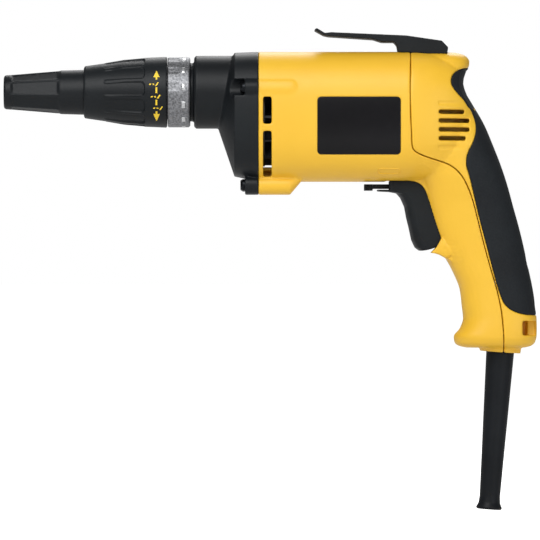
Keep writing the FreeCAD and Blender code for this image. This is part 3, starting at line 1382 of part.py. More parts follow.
def bearing(prefix, front, width, outer, bore, ball):
    """A ball bearing on the motor axis: its outer ring, inner ring and balls."""
    race = f"(({outer}) - ({bore})) * race_share"
    middle = f"({front}) + ({width}) / 2"
    pitch = f"(({outer}) + ({bore})) / 2"
    rings = []
    for part, inside, outside in (("outer", f"({outer}) - {race}", outer),
                                  ("inner", bore, f"({bore}) + {race}")):
        blank = tube(f"{prefix}_{part}_blank", front, f"({front}) + ({width})", inside, outside, MOTOR_Z)
        track = doc.addObject("Part::Torus", f"{prefix}_{part}_track")
        track.Placement = Placement(Vector(), AXIS_TURNS["X"])
        bind(track, "Radius1", pitch)
        bind(track, "Radius2", f"{ball} + running_gap")
        bind(track, "Placement.Base.x", middle)
        bind(track, "Placement.Base.z", MOTOR_Z)
        rings.append(cut(f"{prefix}_{part}_ring", blank, track))
    balls = []
    for index in range(int(mm("ball_count"))):
        sphere = doc.addObject("Part::Sphere", f"{prefix}_ball_{index}")
        bind(sphere, "Radius", ball)
        turn = f"(360 * {index} / ball_count)"
        bind(sphere, "Placement.Base.x", middle)
        bind(sphere, "Placement.Base.y", f"({pitch}) * sin({turn})")
        bind(sphere, "Placement.Base.z", f"{MOTOR_Z} + ({pitch}) * cos({turn})")
        balls.append(sphere)
    keep(rings[0], f"{prefix}_bearing_outer")
    keep(rings[1], f"{prefix}_bearing_inner")
    keep(group(f"{prefix}_ball_group", balls), f"{prefix}_bearing_balls")


FRONT_BEARING = f"({PLATE_BACK} - front_bearing_width)"
REAR_BEARING = f"({BRACKET_BACK} - rear_bearing_width)"
bearing("front", FRONT_BEARING, "front_bearing_width", "front_bearing_radius", "shaft_radius",
        "front_ball_radius")
bearing("rear", REAR_BEARING, "rear_bearing_width", "rear_bearing_radius", "rear_bearing_bore",
        "rear_ball_radius")


# Armature: shaft with its pinion, laminated core, windings, commutator and fan.
def armature_shaft_shape():
    z = -mm(MOTOR_DROP)
    front, rear = mm(FRONT_BEARING), mm(REAR_BEARING)
    teeth = int(mm("pinion_teeth"))
    pinion = wheel_solid(teeth, math.pi / teeth, mm(f"{GEAR_FRONT} + pinion_setback"), front, z)
    shaft = rod(mm("shaft_radius"), Vector(front, 0, z), Vector(rear, 0, z))
    tail = rod(mm("rear_bearing_bore"), Vector(rear, 0, z), Vector(mm(BRACKET_BACK), 0, z))
    return shaft.fuse([pinion, tail])


keep(feature("armature_shaft_bar", armature_shaft_shape()), "armature_shaft")

core = tube("core_stack", CORE_FRONT, CORE_BACK, "shaft_radius", "core_radius", MOTOR_Z)
fluted(core, "core_slot", [
    (f"{CORE_FRONT} - overrun", "core_radius - core_slot_depth"),
    (f"{CORE_BACK} + overrun", "core_radius - core_slot_depth"),
    (f"{CORE_BACK} + overrun", "core_radius + overrun"),
    (f"{CORE_FRONT} - overrun", "core_radius + overrun"),
], "core_slot_width", "core_slot_count")
keep(core, "armature_core")


def winding_outline(near, far):
    """A rounded bundle of end turns, from the core's face outwards."""
    reach = f"(({far}) - ({near}))"
    return [(near, "winding_collar"), (far, "winding_collar"), (far, "winding_radius - winding_collar / 2"),
            (f"({near}) + {reach} * 3 / 4", "winding_radius - winding_collar / 6"),
            (f"({near}) + {reach} / 2", "winding_radius"), (near, "winding_radius")]


keep(group("armature_turns", [
    turned("front_turns", winding_outline(CORE_FRONT, f"{CORE_FRONT} - winding_length"), z=MOTOR_Z),
    turned("rear_turns", winding_outline(CORE_BACK, f"{CORE_BACK} + winding_length - seat_gap"), z=MOTOR_Z),
]), "armature_windings")

COMMUTATOR_BACK = f"({COMMUTATOR_FRONT} + commutator_length)"
commutator = tube("commutator_drum", COMMUTATOR_FRONT, COMMUTATOR_BACK, "shaft_radius", "commutator_radius",
                  MOTOR_Z)
fluted(commutator, "commutator_slot", [
    (f"{COMMUTATOR_FRONT} - overrun", "commutator_radius - commutator_slot_depth"),
    (f"{COMMUTATOR_BACK} + overrun", "commutator_radius - commutator_slot_depth"),
    (f"{COMMUTATOR_BACK} + overrun", "commutator_radius + overrun"),
    (f"{COMMUTATOR_FRONT} - overrun", "commutator_radius + overrun"),
], "commutator_slot_width", "commutator_slot_count")
keep(commutator, "commutator")

FAN_FRONT = f"({JOINT} + fan_setback)"
FAN_BACK = f"({FAN_FRONT} + fan_height)"
fan_plate = turned("fan_plate", [
    (FAN_FRONT, "shaft_radius"), (FAN_BACK, "shaft_radius"), (FAN_BACK, "fan_hub_radius"),
    (f"{FAN_FRONT} + fan_disc", "fan_hub_radius"), (f"{FAN_FRONT} + fan_disc", "fan_radius"),
    (FAN_FRONT, "fan_radius"),
], z=MOTOR_Z)


def fan_blade_shapes():
    count, half = int(mm("fan_blade_count")), mm("fan_blade") / 2
    center = Vector(0, 0, -mm(MOTOR_DROP))
    blades = []
    for index in range(count):
        blade = span(Vector(mm(FAN_FRONT), -half, mm("fan_hub_radius") - half),
                     Vector(mm(FAN_BACK), half, mm("fan_radius") - half))
        blade.translate(center)
        blade.rotate(center, Vector(1, 0, 0), 360 * index / count)
        blades.append(blade)
    return Part.Compound(blades)


keep(fuse("fan_moulding", fan_plate, feature("fan_blades", fan_blade_shapes())), "cooling_fan")


# Field: laminated yoke with two poles, and a coil round each pole.
def field_shapes():
    z, outer = -mm(MOTOR_DROP), mm(FIELD_RADIUS)
    front = (mm(CORE_FRONT) + mm(CORE_BACK) - mm("field_length")) / 2
    back = front + mm("field_length")
    bore, yoke = mm("core_radius + air_gap"), outer - mm("field_yoke")
    gap, half_pole = mm("seat_gap"), mm("pole_angle") / 2
    laminations = ring_solid(yoke, outer, front, back, z).fuse(
        [sector(bore, yoke + gap, turn - half_pole, turn + half_pole, front, back, z) for turn in (0, 180)])
    half_coil, reach = mm("coil_angle") / 2, mm("coil_overhang")
    inner, rim = bore + gap, yoke - gap
    coils = []
    for turn in (0, 180):
        sides = [sector(inner, rim, first, first + mm("coil_side_angle"), front - reach, back + reach, z)
                 for first in (turn - half_coil, turn + half_coil - mm("coil_side_angle"))]
        ends = [sector(inner, rim, turn - half_coil, turn + half_coil, start, start + reach - gap, z)
                for start in (front - reach, back + gap)]
        coils.append(sides[0].fuse(sides[1:] + ends).removeSplitter())
    return laminations.removeSplitter(), Part.Compound(coils)


laminations, coils = field_shapes()
keep(feature("field_laminations", laminations), "field_core")
keep(feature("field_coils", coils), "field_windings")


# Rear bracket, and the brush gear beside the commutator.
def bracket_shape():
    front, back = mm(BRACKET_FRONT), mm(BRACKET_BACK)
    inset, z = mm("wall + seat_gap"), -mm(MOTOR_DROP)
    blank = ruled([upright(x, mm("barrel_top") - inset, inset - mm("barrel_drop"),
                           mm("barrel_width") - 2 * inset, BARREL_POWER) for x in (front, back)])
    seat = rod(mm("rear_bearing_radius"), Vector(mm(REAR_BEARING), 0, z), Vector(back + OVERRUN, 0, z))
    way = rod(mm("rear_bearing_radius") * 2 / 3, Vector(front - OVERRUN, 0, z), Vector(back, 0, z))
    return blank.cut([seat, way])


keep(feature("bracket_moulding", bracket_shape()), "rear_bearing_bracket")

BRUSH_X = f"({COMMUTATOR_FRONT} + commutator_length / 2)"
BRUSH_TIP = "(commutator_radius + brush_gap)"
BRUSH_TAIL = f"({BRUSH_TIP} + brush_length)"
HOLDER_TIP = "(commutator_radius + holder_wall)"
HALF_X = "(brush_width / 2 + brush_gap)"
HALF_Z = "(brush_height / 2 + brush_gap)"
WAY_END = f"({FIELD_RADIUS} - holder_wall)"
SPRING_START = f"({BRUSH_TAIL} + brush_spring_wire / 2 + running_gap)"
SPRING_RUN = f"({WAY_END} - {BRUSH_TAIL} - brush_spring_wire - 2 * running_gap)"


def outward(side, near, far):
    """Two distances from the motor axis as (low, high) places on the left or the right."""
    return (near, far) if side > 0 else (f"-({far})", f"-({near})")


holders, brushes, brush_springs = [], [], []
for side, name in ((-1, "left"), (1, "right")):
    low, high = outward(side, HOLDER_TIP, FIELD_RADIUS)
    outer_box = box(f"{name}_holder_block",
                    (f"{BRUSH_X} - {HALF_X} - holder_wall", low, f"{MOTOR_Z} - {HALF_Z} - holder_wall"),
                    (f"{BRUSH_X} + {HALF_X} + holder_wall", high, f"{MOTOR_Z} + {HALF_Z} + holder_wall"))
    low, high = outward(side, f"{HOLDER_TIP} - overrun", WAY_END)
    way = box(f"{name}_holder_way", (f"{BRUSH_X} - {HALF_X}", low, f"{MOTOR_Z} - {HALF_Z}"),
              (f"{BRUSH_X} + {HALF_X}", high, f"{MOTOR_Z} + {HALF_Z}"))
    holders.append(cut(f"{name}_holder", outer_box, way))
    low, high = outward(side, BRUSH_TIP, BRUSH_TAIL)
    brushes.append(box(f"{name}_brush",
                       (f"{BRUSH_X} - brush_width / 2", low, f"{MOTOR_Z} - brush_height / 2"),
                       (f"{BRUSH_X} + brush_width / 2", high, f"{MOTOR_Z} + brush_height / 2")))
    spring = coil(mm("brush_spring_radius"), mm("brush_spring_wire"), mm("brush_spring_turns"),
                  mm(SPRING_RUN))
    spring.rotate(Vector(), Vector(0, 0, 1), side * 90)
    spring.translate(Vector(mm(BRUSH_X), side * mm(SPRING_START), -mm(MOTOR_DROP)))
    brush_springs.append(spring)
keep(group("brush_holder_pair", holders), "brush_holders")
keep(group("brush_pair", brushes), "carbon_brushes")
keep(feature("brush_spring_pair", Part.Compound(brush_springs)), "brush_springs")

# Trigger, its plunger and spring, the switch behind it, and the reversing lever above it.
TRIGGER_TOP = "(-barrel_drop - trigger_drop)"
trigger_outline = [(f"{TRIGGER_BACK} - {reach} * trigger_reach", f"{TRIGGER_TOP} - {drop} * trigger_height")
                   for reach, drop in TRIGGER_SHARES]
trigger = padded("trigger_moulding", trigger_outline, "trigger_width")


def front_edge(edge):
    """A long side edge of the trigger, ahead of the handle."""
    ends = [vertex.Point for vertex in edge.Vertexes]
    ahead = mm(TRIGGER_BACK) - mm("trigger_reach") * TRIGGER_ROUND_SHARE
    ceiling = mm(TRIGGER_TOP) - mm("trigger_round") / 2
    same_side = abs(ends[0].y - ends[1].y) < mm("running_gap")
    return same_side and all(end.x < ahead and end.z < ceiling for end in ends)


rounded(trigger, "trigger_rounding", "trigger_round / 2", front_edge)
cheeks = []
for side, name in ((-1, "left"), (1, "right")):
    low, high = outward(side, "trigger_width / 2 - cheek_width", "trigger_width / 2")
    cheeks.append(box(f"trigger_{name}_cheek",
                      (f"{TRIGGER_BACK} - trigger_reach", low, f"{TRIGGER_TOP} - cheek_width / 4"),
                      (TRIGGER_BACK, high, "slot_rise - barrel_drop - sliding_gap")))
keep(fuse("trigger_cheeked", trigger, *cheeks), "trigger")

PLUNGER_Z = f"({TRIGGER_TOP} - plunger_drop)"
keep(cylinder("plunger_rod", "plunger_radius", "plunger_length", TRIGGER_BACK, "0", PLUNGER_Z),
     "switch_plunger")
trigger_coil = coil(mm("trigger_spring_radius"), mm("trigger_spring_wire"), mm("trigger_spring_turns"),
                    mm(f"{SWITCH_FRONT} - {TRIGGER_BACK} - trigger_spring_wire - 2 * running_gap"))
trigger_spring = keep(feature("trigger_coil", trigger_coil), "trigger_spring")
bind(trigger_spring, "Placement.Base.x", f"{TRIGGER_BACK} + trigger_spring_wire / 2 + running_gap")
bind(trigger_spring, "Placement.Base.z", PLUNGER_Z)

SWITCH_TOP = "(-barrel_drop - switch_drop)"
switch_block = box("switch_block", (SWITCH_FRONT, "-switch_width / 2", f"{SWITCH_TOP} - switch_height"),
                   (f"{SWITCH_FRONT} + switch_depth", "switch_width / 2", SWITCH_TOP))
switch_bore = cylinder("switch_bore", "plunger_radius + sliding_gap", "switch_bore_depth + overrun",
                       f"{SWITCH_FRONT} - overrun", "0", PLUNGER_Z)
switch_step = box("switch_step",
                  (f"{SWITCH_FRONT} + switch_depth / 2", "-switch_width", f"{SWITCH_TOP} - 3 * switch_edge"),
                  (f"{SWITCH_FRONT} + switch_depth + overrun", "switch_width", f"{SWITCH_TOP} + overrun"))
keep(cut("switch_case", switch_block, switch_bore, switch_step), "switch_body")

LEVER_TOP = "(-barrel_drop - lever_drop)"
LEVER_FOOT = f"({LEVER_TOP} - lever_thickness)"
PIVOT_X = f"({SEAM} + lever_pivot)"
LEVER_TIP = f"({PIVOT_X} - lever_arm)"
lever_arm = box("lever_bar", (f"{LEVER_TIP} + lever_paddle_length / 2", "-lever_arm_width / 2", LEVER_FOOT),
                (f"{PIVOT_X} + lever_tail", "lever_arm_width / 2", LEVER_TOP))
lever_boss = cylinder("lever_boss", "lever_boss_radius", "lever_thickness", PIVOT_X, "0", LEVER_FOOT, "Z")
PADDLE_FOOT = f"({LEVER_TOP} - lever_paddle_height)"
lever_paddle = box("lever_paddle", (LEVER_TIP, "-lever_paddle_width / 2", PADDLE_FOOT),
                   (f"{LEVER_TIP} + lever_paddle_length", "lever_paddle_width / 2", LEVER_TOP))
lever_cuts = [cylinder("lever_hole", "lever_pin_radius + running_gap", "lever_thickness + overrun", PIVOT_X,
                       "0", f"{LEVER_FOOT} - overrun / 2", "Z")]
for index in range(int(mm("lever_rib_count"))):
    rib_x = f"({LEVER_TIP} + lever_paddle_length * ({index} + 1) / (lever_rib_count + 1))"
    for side, name in ((-1, "left"), (1, "right")):
        low, high = outward(side, "lever_paddle_width / 2 - lever_rib_depth",
                            "lever_paddle_width / 2 + overrun")
        lever_cuts.append(box(f"lever_{name}_groove_{index}",
                              (f"{rib_x} - lever_rib_width / 2", low, f"{PADDLE_FOOT} - overrun"),
                              (f"{rib_x} + lever_rib_width / 2", high, f"{LEVER_TOP} + overrun")))
lever_blank = fuse("lever_blank", lever_arm, lever_boss, lever_paddle)
keep(cut("lever_cut", lever_blank, *lever_cuts), "reversing_lever")
keep(cylinder("lever_pin_rod", "lever_pin_radius", "lever_thickness + lever_drop + wall", PIVOT_X, "0",
              LEVER_FOOT, "Z"), "lever_pin")

# Cord inlet: a tapered bend sleeve held in the foot of the handle, and the clamp inside.
FOOT = "(-barrel_drop - grip_height)"
HEAD_SEAT_AT = "(-wall - sleeve_head_lift)"
RELIEF_END = "(inlet_ring_height + 3 * sleeve_edge)"
sleeve = turned("sleeve_turning", [
    (f"{HEAD_SEAT_AT} - sleeve_head_length", "sleeve_bore_radius + sleeve_relief"),
    (f"{HEAD_SEAT_AT} - sleeve_head_length", "sleeve_head_radius"),
    (HEAD_SEAT_AT, "sleeve_head_radius"), (HEAD_SEAT_AT, "sleeve_top_radius"),
    ("inlet_ring_height", "sleeve_top_radius"),
    ("sleeve_length - sleeve_flare_length * 2", "sleeve_end_radius"),
    ("sleeve_length - sleeve_flare_length", "sleeve_end_radius + sleeve_edge / 3"),
    ("sleeve_length - sleeve_edge", "sleeve_flare_radius"),
    ("sleeve_length", "sleeve_flare_radius - sleeve_edge / 2"),
    ("sleeve_length", "sleeve_bore_radius + sleeve_edge"),
    ("sleeve_length - sleeve_edge", "sleeve_bore_radius"),
    (f"{RELIEF_END} + sleeve_relief", "sleeve_bore_radius"),
    (RELIEF_END, "sleeve_bore_radius + sleeve_relief"),
], f"{SEAM} + sleeve_setback", "0", FOOT, Rotation(Vector(0, 1, 0), 90 + mm("sleeve_tilt")))
keep(sleeve, "cord_sleeve")

CLAMP_X = f"({SEAM} + clamp_setback + seat_gap)"
CLAMP_Z = "(-barrel_drop - clamp_drop)"
clamp_bar = box("clamp_bar", (CLAMP_X, "-clamp_width / 2 + wall", f"{CLAMP_Z} - clamp_height / 2"),
                (f"{CLAMP_X} + clamp_thickness", "clamp_width / 2 - wall", f"{CLAMP_Z} + clamp_height / 2"))
clamp_cuts = [cylinder("clamp_groove", "clamp_groove_radius", "clamp_height + overrun", CLAMP_X, "0",
                       f"{CLAMP_Z} - clamp_height / 2 - overrun / 2", "Z")]
clamp_screws = []
for side in ("", "-"):
    name = "right" if side == "" else "left"
    clamp_cuts.append(cylinder(f"clamp_{name}_hole", "clamp_screw_radius + running_gap",
                               "clamp_thickness + 2 * overrun", f"{CLAMP_X} - overrun",
                               f"{side}clamp_screw_spread", CLAMP_Z))
    clamp_screws.append(screw(f"clamp_{name}_screw", "clamp_head_radius", "clamp_head_height",
                              "clamp_screw_radius", "clamp_screw_length", f"{CLAMP_X} + clamp_thickness",
                              f"{side}clamp_screw_spread", CLAMP_Z, REVERSED))
keep(cut("clamp_cut", clamp_bar, *clamp_cuts), "cord_clamp")
keep(group("clamp_screw_group", clamp_screws), "cord_clamp_screws")

doc.recompute()
failed = [item.Label for item in doc.Objects if "Invalid" in item.State or "Error" in item.State]
failed += [item.Label for item in nodes if item.Shape.isNull() or not item.Shape.isValid()]
if failed:
    raise RuntimeError("These pieces failed: " + ", ".join(failed))

os.makedirs("parts", exist_ok=True)
for item in nodes:
    item.Shape.exportStep(f"parts/{item.Label}.step")
print(len(nodes), "pieces written")
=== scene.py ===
import json
import math

import bmesh
import bpy
import numpy as np
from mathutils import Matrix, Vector

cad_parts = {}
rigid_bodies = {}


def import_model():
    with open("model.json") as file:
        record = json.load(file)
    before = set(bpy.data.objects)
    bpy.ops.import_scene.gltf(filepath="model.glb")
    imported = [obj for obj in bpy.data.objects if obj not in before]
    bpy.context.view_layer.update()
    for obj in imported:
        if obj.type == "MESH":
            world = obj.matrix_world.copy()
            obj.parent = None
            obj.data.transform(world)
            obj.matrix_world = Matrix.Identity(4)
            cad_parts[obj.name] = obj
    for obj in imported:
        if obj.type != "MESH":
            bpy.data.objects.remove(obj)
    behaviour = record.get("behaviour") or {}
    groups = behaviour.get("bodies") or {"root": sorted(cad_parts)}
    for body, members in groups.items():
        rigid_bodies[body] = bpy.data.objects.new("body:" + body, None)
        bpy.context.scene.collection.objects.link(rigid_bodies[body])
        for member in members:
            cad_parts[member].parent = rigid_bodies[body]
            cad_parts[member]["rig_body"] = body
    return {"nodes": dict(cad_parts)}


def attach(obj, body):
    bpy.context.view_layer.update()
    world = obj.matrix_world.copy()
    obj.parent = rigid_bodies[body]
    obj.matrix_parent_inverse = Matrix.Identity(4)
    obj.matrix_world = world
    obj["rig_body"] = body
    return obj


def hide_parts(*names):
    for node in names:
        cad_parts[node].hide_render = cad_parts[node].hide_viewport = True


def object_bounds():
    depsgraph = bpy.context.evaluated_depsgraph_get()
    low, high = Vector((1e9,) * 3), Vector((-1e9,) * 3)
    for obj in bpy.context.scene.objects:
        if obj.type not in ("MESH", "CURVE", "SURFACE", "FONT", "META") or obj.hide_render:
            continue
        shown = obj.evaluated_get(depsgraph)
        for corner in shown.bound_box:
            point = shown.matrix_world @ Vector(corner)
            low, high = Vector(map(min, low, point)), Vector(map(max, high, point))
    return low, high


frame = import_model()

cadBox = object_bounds()
mm = 0.001
print("frame loaded:", len(frame["nodes"]), "nodes")


# colour and node helpers

def linear(hexColour):
    channels = [int(hexColour[i:i + 2], 16) / 255 for i in (1, 3, 5)]
    return [c / 12.92 if c <= 0.04045 else ((c + 0.055) / 1.055) ** 2.4 for c in channels] + [1.0]


def perMetre(sizeMm):
    return 1 / (sizeMm * mm)  # a texture scale that gives features of this size


def addNode(tree, kind, inputs=None, links=None, **settings):
    node = tree.nodes.new(kind)
    for name, value in settings.items():
        setattr(node, name, value)
    for name, value in (inputs or {}).items():
        node.inputs[name].default_value = value
    for name, (source, output) in (links or {}).items():
        tree.links.new(source.outputs[output], node.inputs[name])
    return node


def startMaterial(name, **shaderInputs):
    material = bpy.data.materials.new(name)
    material.use_nodes = True
    tree = material.node_tree
    shader = tree.nodes["Principled BSDF"]
    for socket, value in shaderInputs.items():
        shader.inputs[socket.replace("_", " ")].default_value = value
    coords = addNode(tree, "ShaderNodeTexCoord")
    return material, tree, shader, coords


bumpShare = 0.3  # how deep a surface mark is, as a share of its width


def finishSurface(tree, shader, look, tone, band, grain, grainMm):
    colour = addNode(tree, "ShaderNodeValToRGB", links={"Fac": (tone, "Fac")})
    for stop, place, hexColour in zip(colour.color_ramp.elements, band, (look["deep"], look["pale"])):
        stop.position = place
        stop.color = linear(hexColour)
    smooth, coarse = look["rough"]
    rough = addNode(tree, "ShaderNodeMapRange", {"To Min": smooth, "To Max": coarse}, {"Value": (grain, "Fac")})
    bump = addNode(tree, "ShaderNodeBump", {"Strength": look["bump"], "Distance": grainMm * mm * bumpShare},
                   {"Height": (grain, "Fac")})
    for source, output, socket in ((colour, "Color", "Base Color"), (rough, "Result", "Roughness"),
                                   (bump, "Normal", "Normal")):
        tree.links.new(source.outputs[output], shader.inputs[socket])


def mouldedPlastic(name, look):
    material, tree, shader, coords = startMaterial(name, IOR=look["ior"], Specular_IOR_Level=look["sheen"])
    place = {"Vector": (coords, "Object")}
    cloud = addNode(tree, "ShaderNodeTexNoise", {"Scale": perMetre(look["cloudMm"]), "Detail": 3.0}, place)
    grit = addNode(tree, "ShaderNodeTexNoise", {"Scale": perMetre(look["gritMm"]), "Detail": 4.0}, place)
    finishSurface(tree, shader, look, cloud, (0.3, 0.7), grit, look["gritMm"])
    return material


def workedMetal(name, look):
    material, tree, shader, coords = startMaterial(name, Metallic=1.0)
    stretch = addNode(tree, "ShaderNodeMapping", {"Scale": look["stretch"]}, {"Vector": (coords, "Object")})
    marks = addNode(tree, "ShaderNodeTexNoise", {"Scale": perMetre(look["markMm"]), "Detail": 5.0},
                    {"Vector": (stretch, "Vector")})
    finishSurface(tree, shader, look, marks, (0.35, 0.65), marks, look["markMm"])
    return material


# glass-filled nylon, injection moulded in a spark-textured tool: an even, dense yellow with a soft broken sheen
yellowLook = {"deep": "#f0bb2c", "pale": "#f3c030", "ior": 1.53, "sheen": 0.5, "rough": (0.38, 0.52), "bump": 0.12,
              "cloudMm": 40, "gritMm": 1.1}  # the real grit is about 0.1 mm, drawn coarse enough to show
yellowNylon = mouldedPlastic("glassFilledNylonYellowMoulded", yellowLook)

# the same nylon in black: a matt charcoal whose rough skin swallows half of its sheen
blackLook = {"deep": "#101316", "pale": "#161a1d", "ior": 1.53, "sheen": 0.22, "rough": (0.38, 0.52), "bump": 0.16,
             "cloudMm": 25, "gritMm": 1.0}  # grit drawn coarser than the real 0.1 mm
blackNylon = mouldedPlastic("glassFilledNylonBlackMoulded", blackLook)

# thermoplastic rubber moulded over the nylon: duller and softer than the shells around it
gripLook = {"deep": "#12161a", "pale": "#181d21", "ior": 1.5, "sheen": 0.3, "rough": (0.62, 0.8), "bump": 0.3,
            "cloudMm": 18, "gritMm": 1.3}  # sand texture, drawn coarser than the real 0.3 mm
gripRubber = mouldedPlastic("thermoplasticRubberOvermoulded", gripLook)

# soft PVC of the bend sleeve, moulded smooth: a waxy charcoal
sleeveLook = {"deep": "#101317", "pale": "#16191d", "ior": 1.5, "sheen": 0.18, "rough": (0.4, 0.52), "bump": 0.08,
              "cloudMm": 20, "gritMm": 1.4}
sleeveRubber = mouldedPlastic("softPvcMoulded", sleeveLook)

# unfilled nylon of the inner holders: a plain dull dark grey
innerLook = {"deep": "#24262a", "pale": "#2c2f33", "ior": 1.53, "sheen": 0.4, "rough": (0.5, 0.6), "bump": 0.1,
             "cloudMm": 15, "gritMm": 1.0}
innerNylon = mouldedPlastic("nylonInnerMoulded", innerLook)

# polyester film printed black on its back: nearly black, smooth, a clear narrow sheen
filmLook = {"deep": "#08070a", "pale": "#0c0b0f", "ior": 1.57, "sheen": 0.2, "rough": (0.26, 0.34), "bump": 0.03,
            "cloudMm": 30, "gritMm": 2.0}
labelFilm = mouldedPlastic("polyesterFilmBlackPrinted", filmLook)

# pressed carbon of the brushes: dull grey-black with a slight shine where it has run
carbonLook = {"deep": "#101010", "pale": "#1c1c1d", "ior": 1.6, "sheen": 0.4, "rough": (0.45, 0.7), "bump": 0.2,
              "cloudMm": 2, "gritMm": 0.8}
pressedCarbon = mouldedPlastic("carbonPressed", carbonLook)

# screen ink on the collar: a flat, clear yellow that covers the black
inkLook = {"deep": "#f3cb2f", "pale": "#f8d53a", "ior": 1.5, "sheen": 0.4, "rough": (0.5, 0.6), "bump": 0.05,
           "cloudMm": 6, "gritMm": 0.8}
screenInk = mouldedPlastic("screenInkYellow", inkLook)

# phenolic of the brush gear's bracket, pressed hot: brown, dull, faintly mottled
phenolicLook = {"deep": "#4a2f22", "pale": "#5c3b2a", "ior": 1.6, "sheen": 0.4, "rough": (0.4, 0.55), "bump": 0.1,
                "cloudMm": 6, "gritMm": 0.9}
phenolic = mouldedPlastic("phenolicBrownMoulded", phenolicLook)

# how a metal's marks are drawn out: not at all, along the turning axis, round it, or as thin leaves across it
alike, alongX, roundX, leaves = (1.0, 1.0, 1.0), (0.08, 1.0, 1.0), (1.0, 0.12, 0.12), (1.0, 0.04, 0.04)

# zinc die casting, tumbled: a mottled mid grey with a broken shine
castZinc = workedMetal("zincDieCastTumbled", {"deep": "#6c6d70", "pale": "#a0a1a4", "rough": (0.42, 0.58),
                                              "bump": 0.3, "markMm": 1.0, "stretch": alike})
# the same zinc painted paler and smoother, as a painted highlight on the nubs behind the ring's gaps
paintedHighlightZinc = workedMetal("zincDieCastPaintedHighlight", {"deep": "#c3c4c6", "pale": "#e2e3e4", "rough": (0.3, 0.4),
                                           "bump": 0.1, "markMm": 0.8, "stretch": alike})
# bright zinc plate on rolled screws and clips: pale, slightly blue, with soft streaks
zincSteel = workedMetal("steelZincPlated", {"deep": "#a9adb2", "pale": "#c9ccd0", "rough": (0.22, 0.36),
                                            "bump": 0.1, "markMm": 0.8, "stretch": alike})
# screws blackened in a hot salt bath: near black, with a low oily shine
blackOxide = workedMetal("steelBlackOxide", {"deep": "#1b1c1e", "pale": "#2e3033", "rough": (0.3, 0.45),
                                             "bump": 0.1, "markMm": 0.8, "stretch": alike})
# hardened steel, ground round: fine marks round the axis and a tight shine
groundSteel = workedMetal("steelHardenedGround", {"deep": "#8c8e91", "pale": "#b9bbbe", "rough": (0.18, 0.3),
                                                  "bump": 0.08, "markMm": 0.7, "stretch": roundX})
# sintered magnet with a nickel coat: smooth, warm pale grey
nickelCoat = workedMetal("magnetNickelCoated", {"deep": "#b5b0a8", "pale": "#cdc8bf", "rough": (0.16, 0.24),
                                                "bump": 0.04, "markMm": 1.0, "stretch": alike})
# sintered bronze: brown-gold, open-grained and dull with oil
sinteredBronze = workedMetal("bronzeSintered", {"deep": "#7c5b34", "pale": "#a67c48", "rough": (0.42, 0.6),
                                                "bump": 0.25, "markMm": 0.6, "stretch": alike})
# hard copper of the commutator, turned: bright pink-brown with fine rings
turnedCopper = workedMetal("copperTurned", {"deep": "#a7603f", "pale": "#c9805a", "rough": (0.25, 0.4),
                                            "bump": 0.1, "markMm": 0.5, "stretch": roundX})
# enamelled winding wire: dark copper under varnish, drawn out along the turns
woundWire = workedMetal("copperWireVarnished", {"deep": "#6a3217", "pale": "#a4562b", "rough": (0.25, 0.4),
                                                "bump": 0.6, "markMm": 0.8, "stretch": alongX})
# stacked electrical steel, pressed and varnished: dull grey with fine leaf edges across the axis
leafSteel = workedMetal("electricalSteelStacked", {"deep": "#3c3f44", "pale": "#5c6066", "rough": (0.4, 0.55),
                                                   "bump": 0.4, "markMm": 0.7, "stretch": leaves})
# aluminium die casting, left as cast: light grey, softly mottled
castAluminium = workedMetal("aluminiumDieCast", {"deep": "#8f9193", "pale": "#adb0b2", "rough": (0.45, 0.6),
                                                 "bump": 0.25, "markMm": 1.0, "stretch": alike})
print("materials made:", len(bpy.data.materials))

slotFinish = {
    "yellow_nylon": yellowNylon, "black_nylon": blackNylon, "grip_rubber": gripRubber,
    "sleeve_rubber": sleeveRubber, "inner_nylon": innerNylon, "label_film": labelFilm, "carbon": pressedCarbon,
    "cast_zinc": castZinc, "zinc_steel": zincSteel, "ground_steel": groundSteel, "magnet": nickelCoat,
    "bronze": sinteredBronze, "copper": turnedCopper, "copper_wire": woundWire,
    "lamination_steel": leafSteel, "cast_plate": castAluminium,
}
ownFinish = {"gear_case_screws": blackOxide, "rear_bearing_bracket": phenolic}  # unlike the rest of their slots
nodeSlot, nodeBody = {}, {}
for nodeName, node in frame["nodes"].items():
    nodeSlot[nodeName] = node.data.materials[0].name.split(".")[0]
    nodeBody[nodeName] = node["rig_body"]
    node.data.materials[0] = ownFinish.get(nodeName, slotFinish[nodeSlot[nodeName]])


# mesh helpers: places are in mm until a mesh is made

def newPiece(name, points, faces, finish):
    mesh = bpy.data.meshes.new(name)
    mesh.from_pydata([tuple(point) for point in points], [], faces)
    tidy = bmesh.new()
    tidy.from_mesh(mesh)
    bmesh.ops.recalc_face_normals(tidy, faces=tidy.faces)
    tidy.to_mesh(mesh)
    tidy.free()
    mesh.materials.append(finish)
    piece = bpy.data.objects.new(name, mesh)
    bpy.context.scene.collection.objects.link(piece)
    return piece


def settle(piece, bodyName, nodeName=None):
    if nodeName:
        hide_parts(nodeName)
    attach(piece, bodyName)
    print(piece.name, len(piece.data.vertices), "points")


def sides(block):
    (x0, y0, z0), (x1, y1, z1) = block
    return [block, ((x0, -y1, z0), (x1, -y0, z1))]  # the same block on both sides of the middle


def boxMesh(blocks):
    points, faces = [], []
    for (x0, y0, z0), (x1, y1, z1) in blocks:
        base = len(points)
        points += [(x * mm, y * mm, z * mm) for z in (z0, z1) for x, y in ((x0, y0), (x1, y0), (x1, y1), (x0, y1))]
        faces += [[base + i for i in face] for face in ((3, 2, 1, 0), (4, 5, 6, 7), (0, 1, 5, 4), (1, 2, 6, 5),
                                                        (2, 3, 7, 6), (3, 0, 4, 7))]
    return points, faces


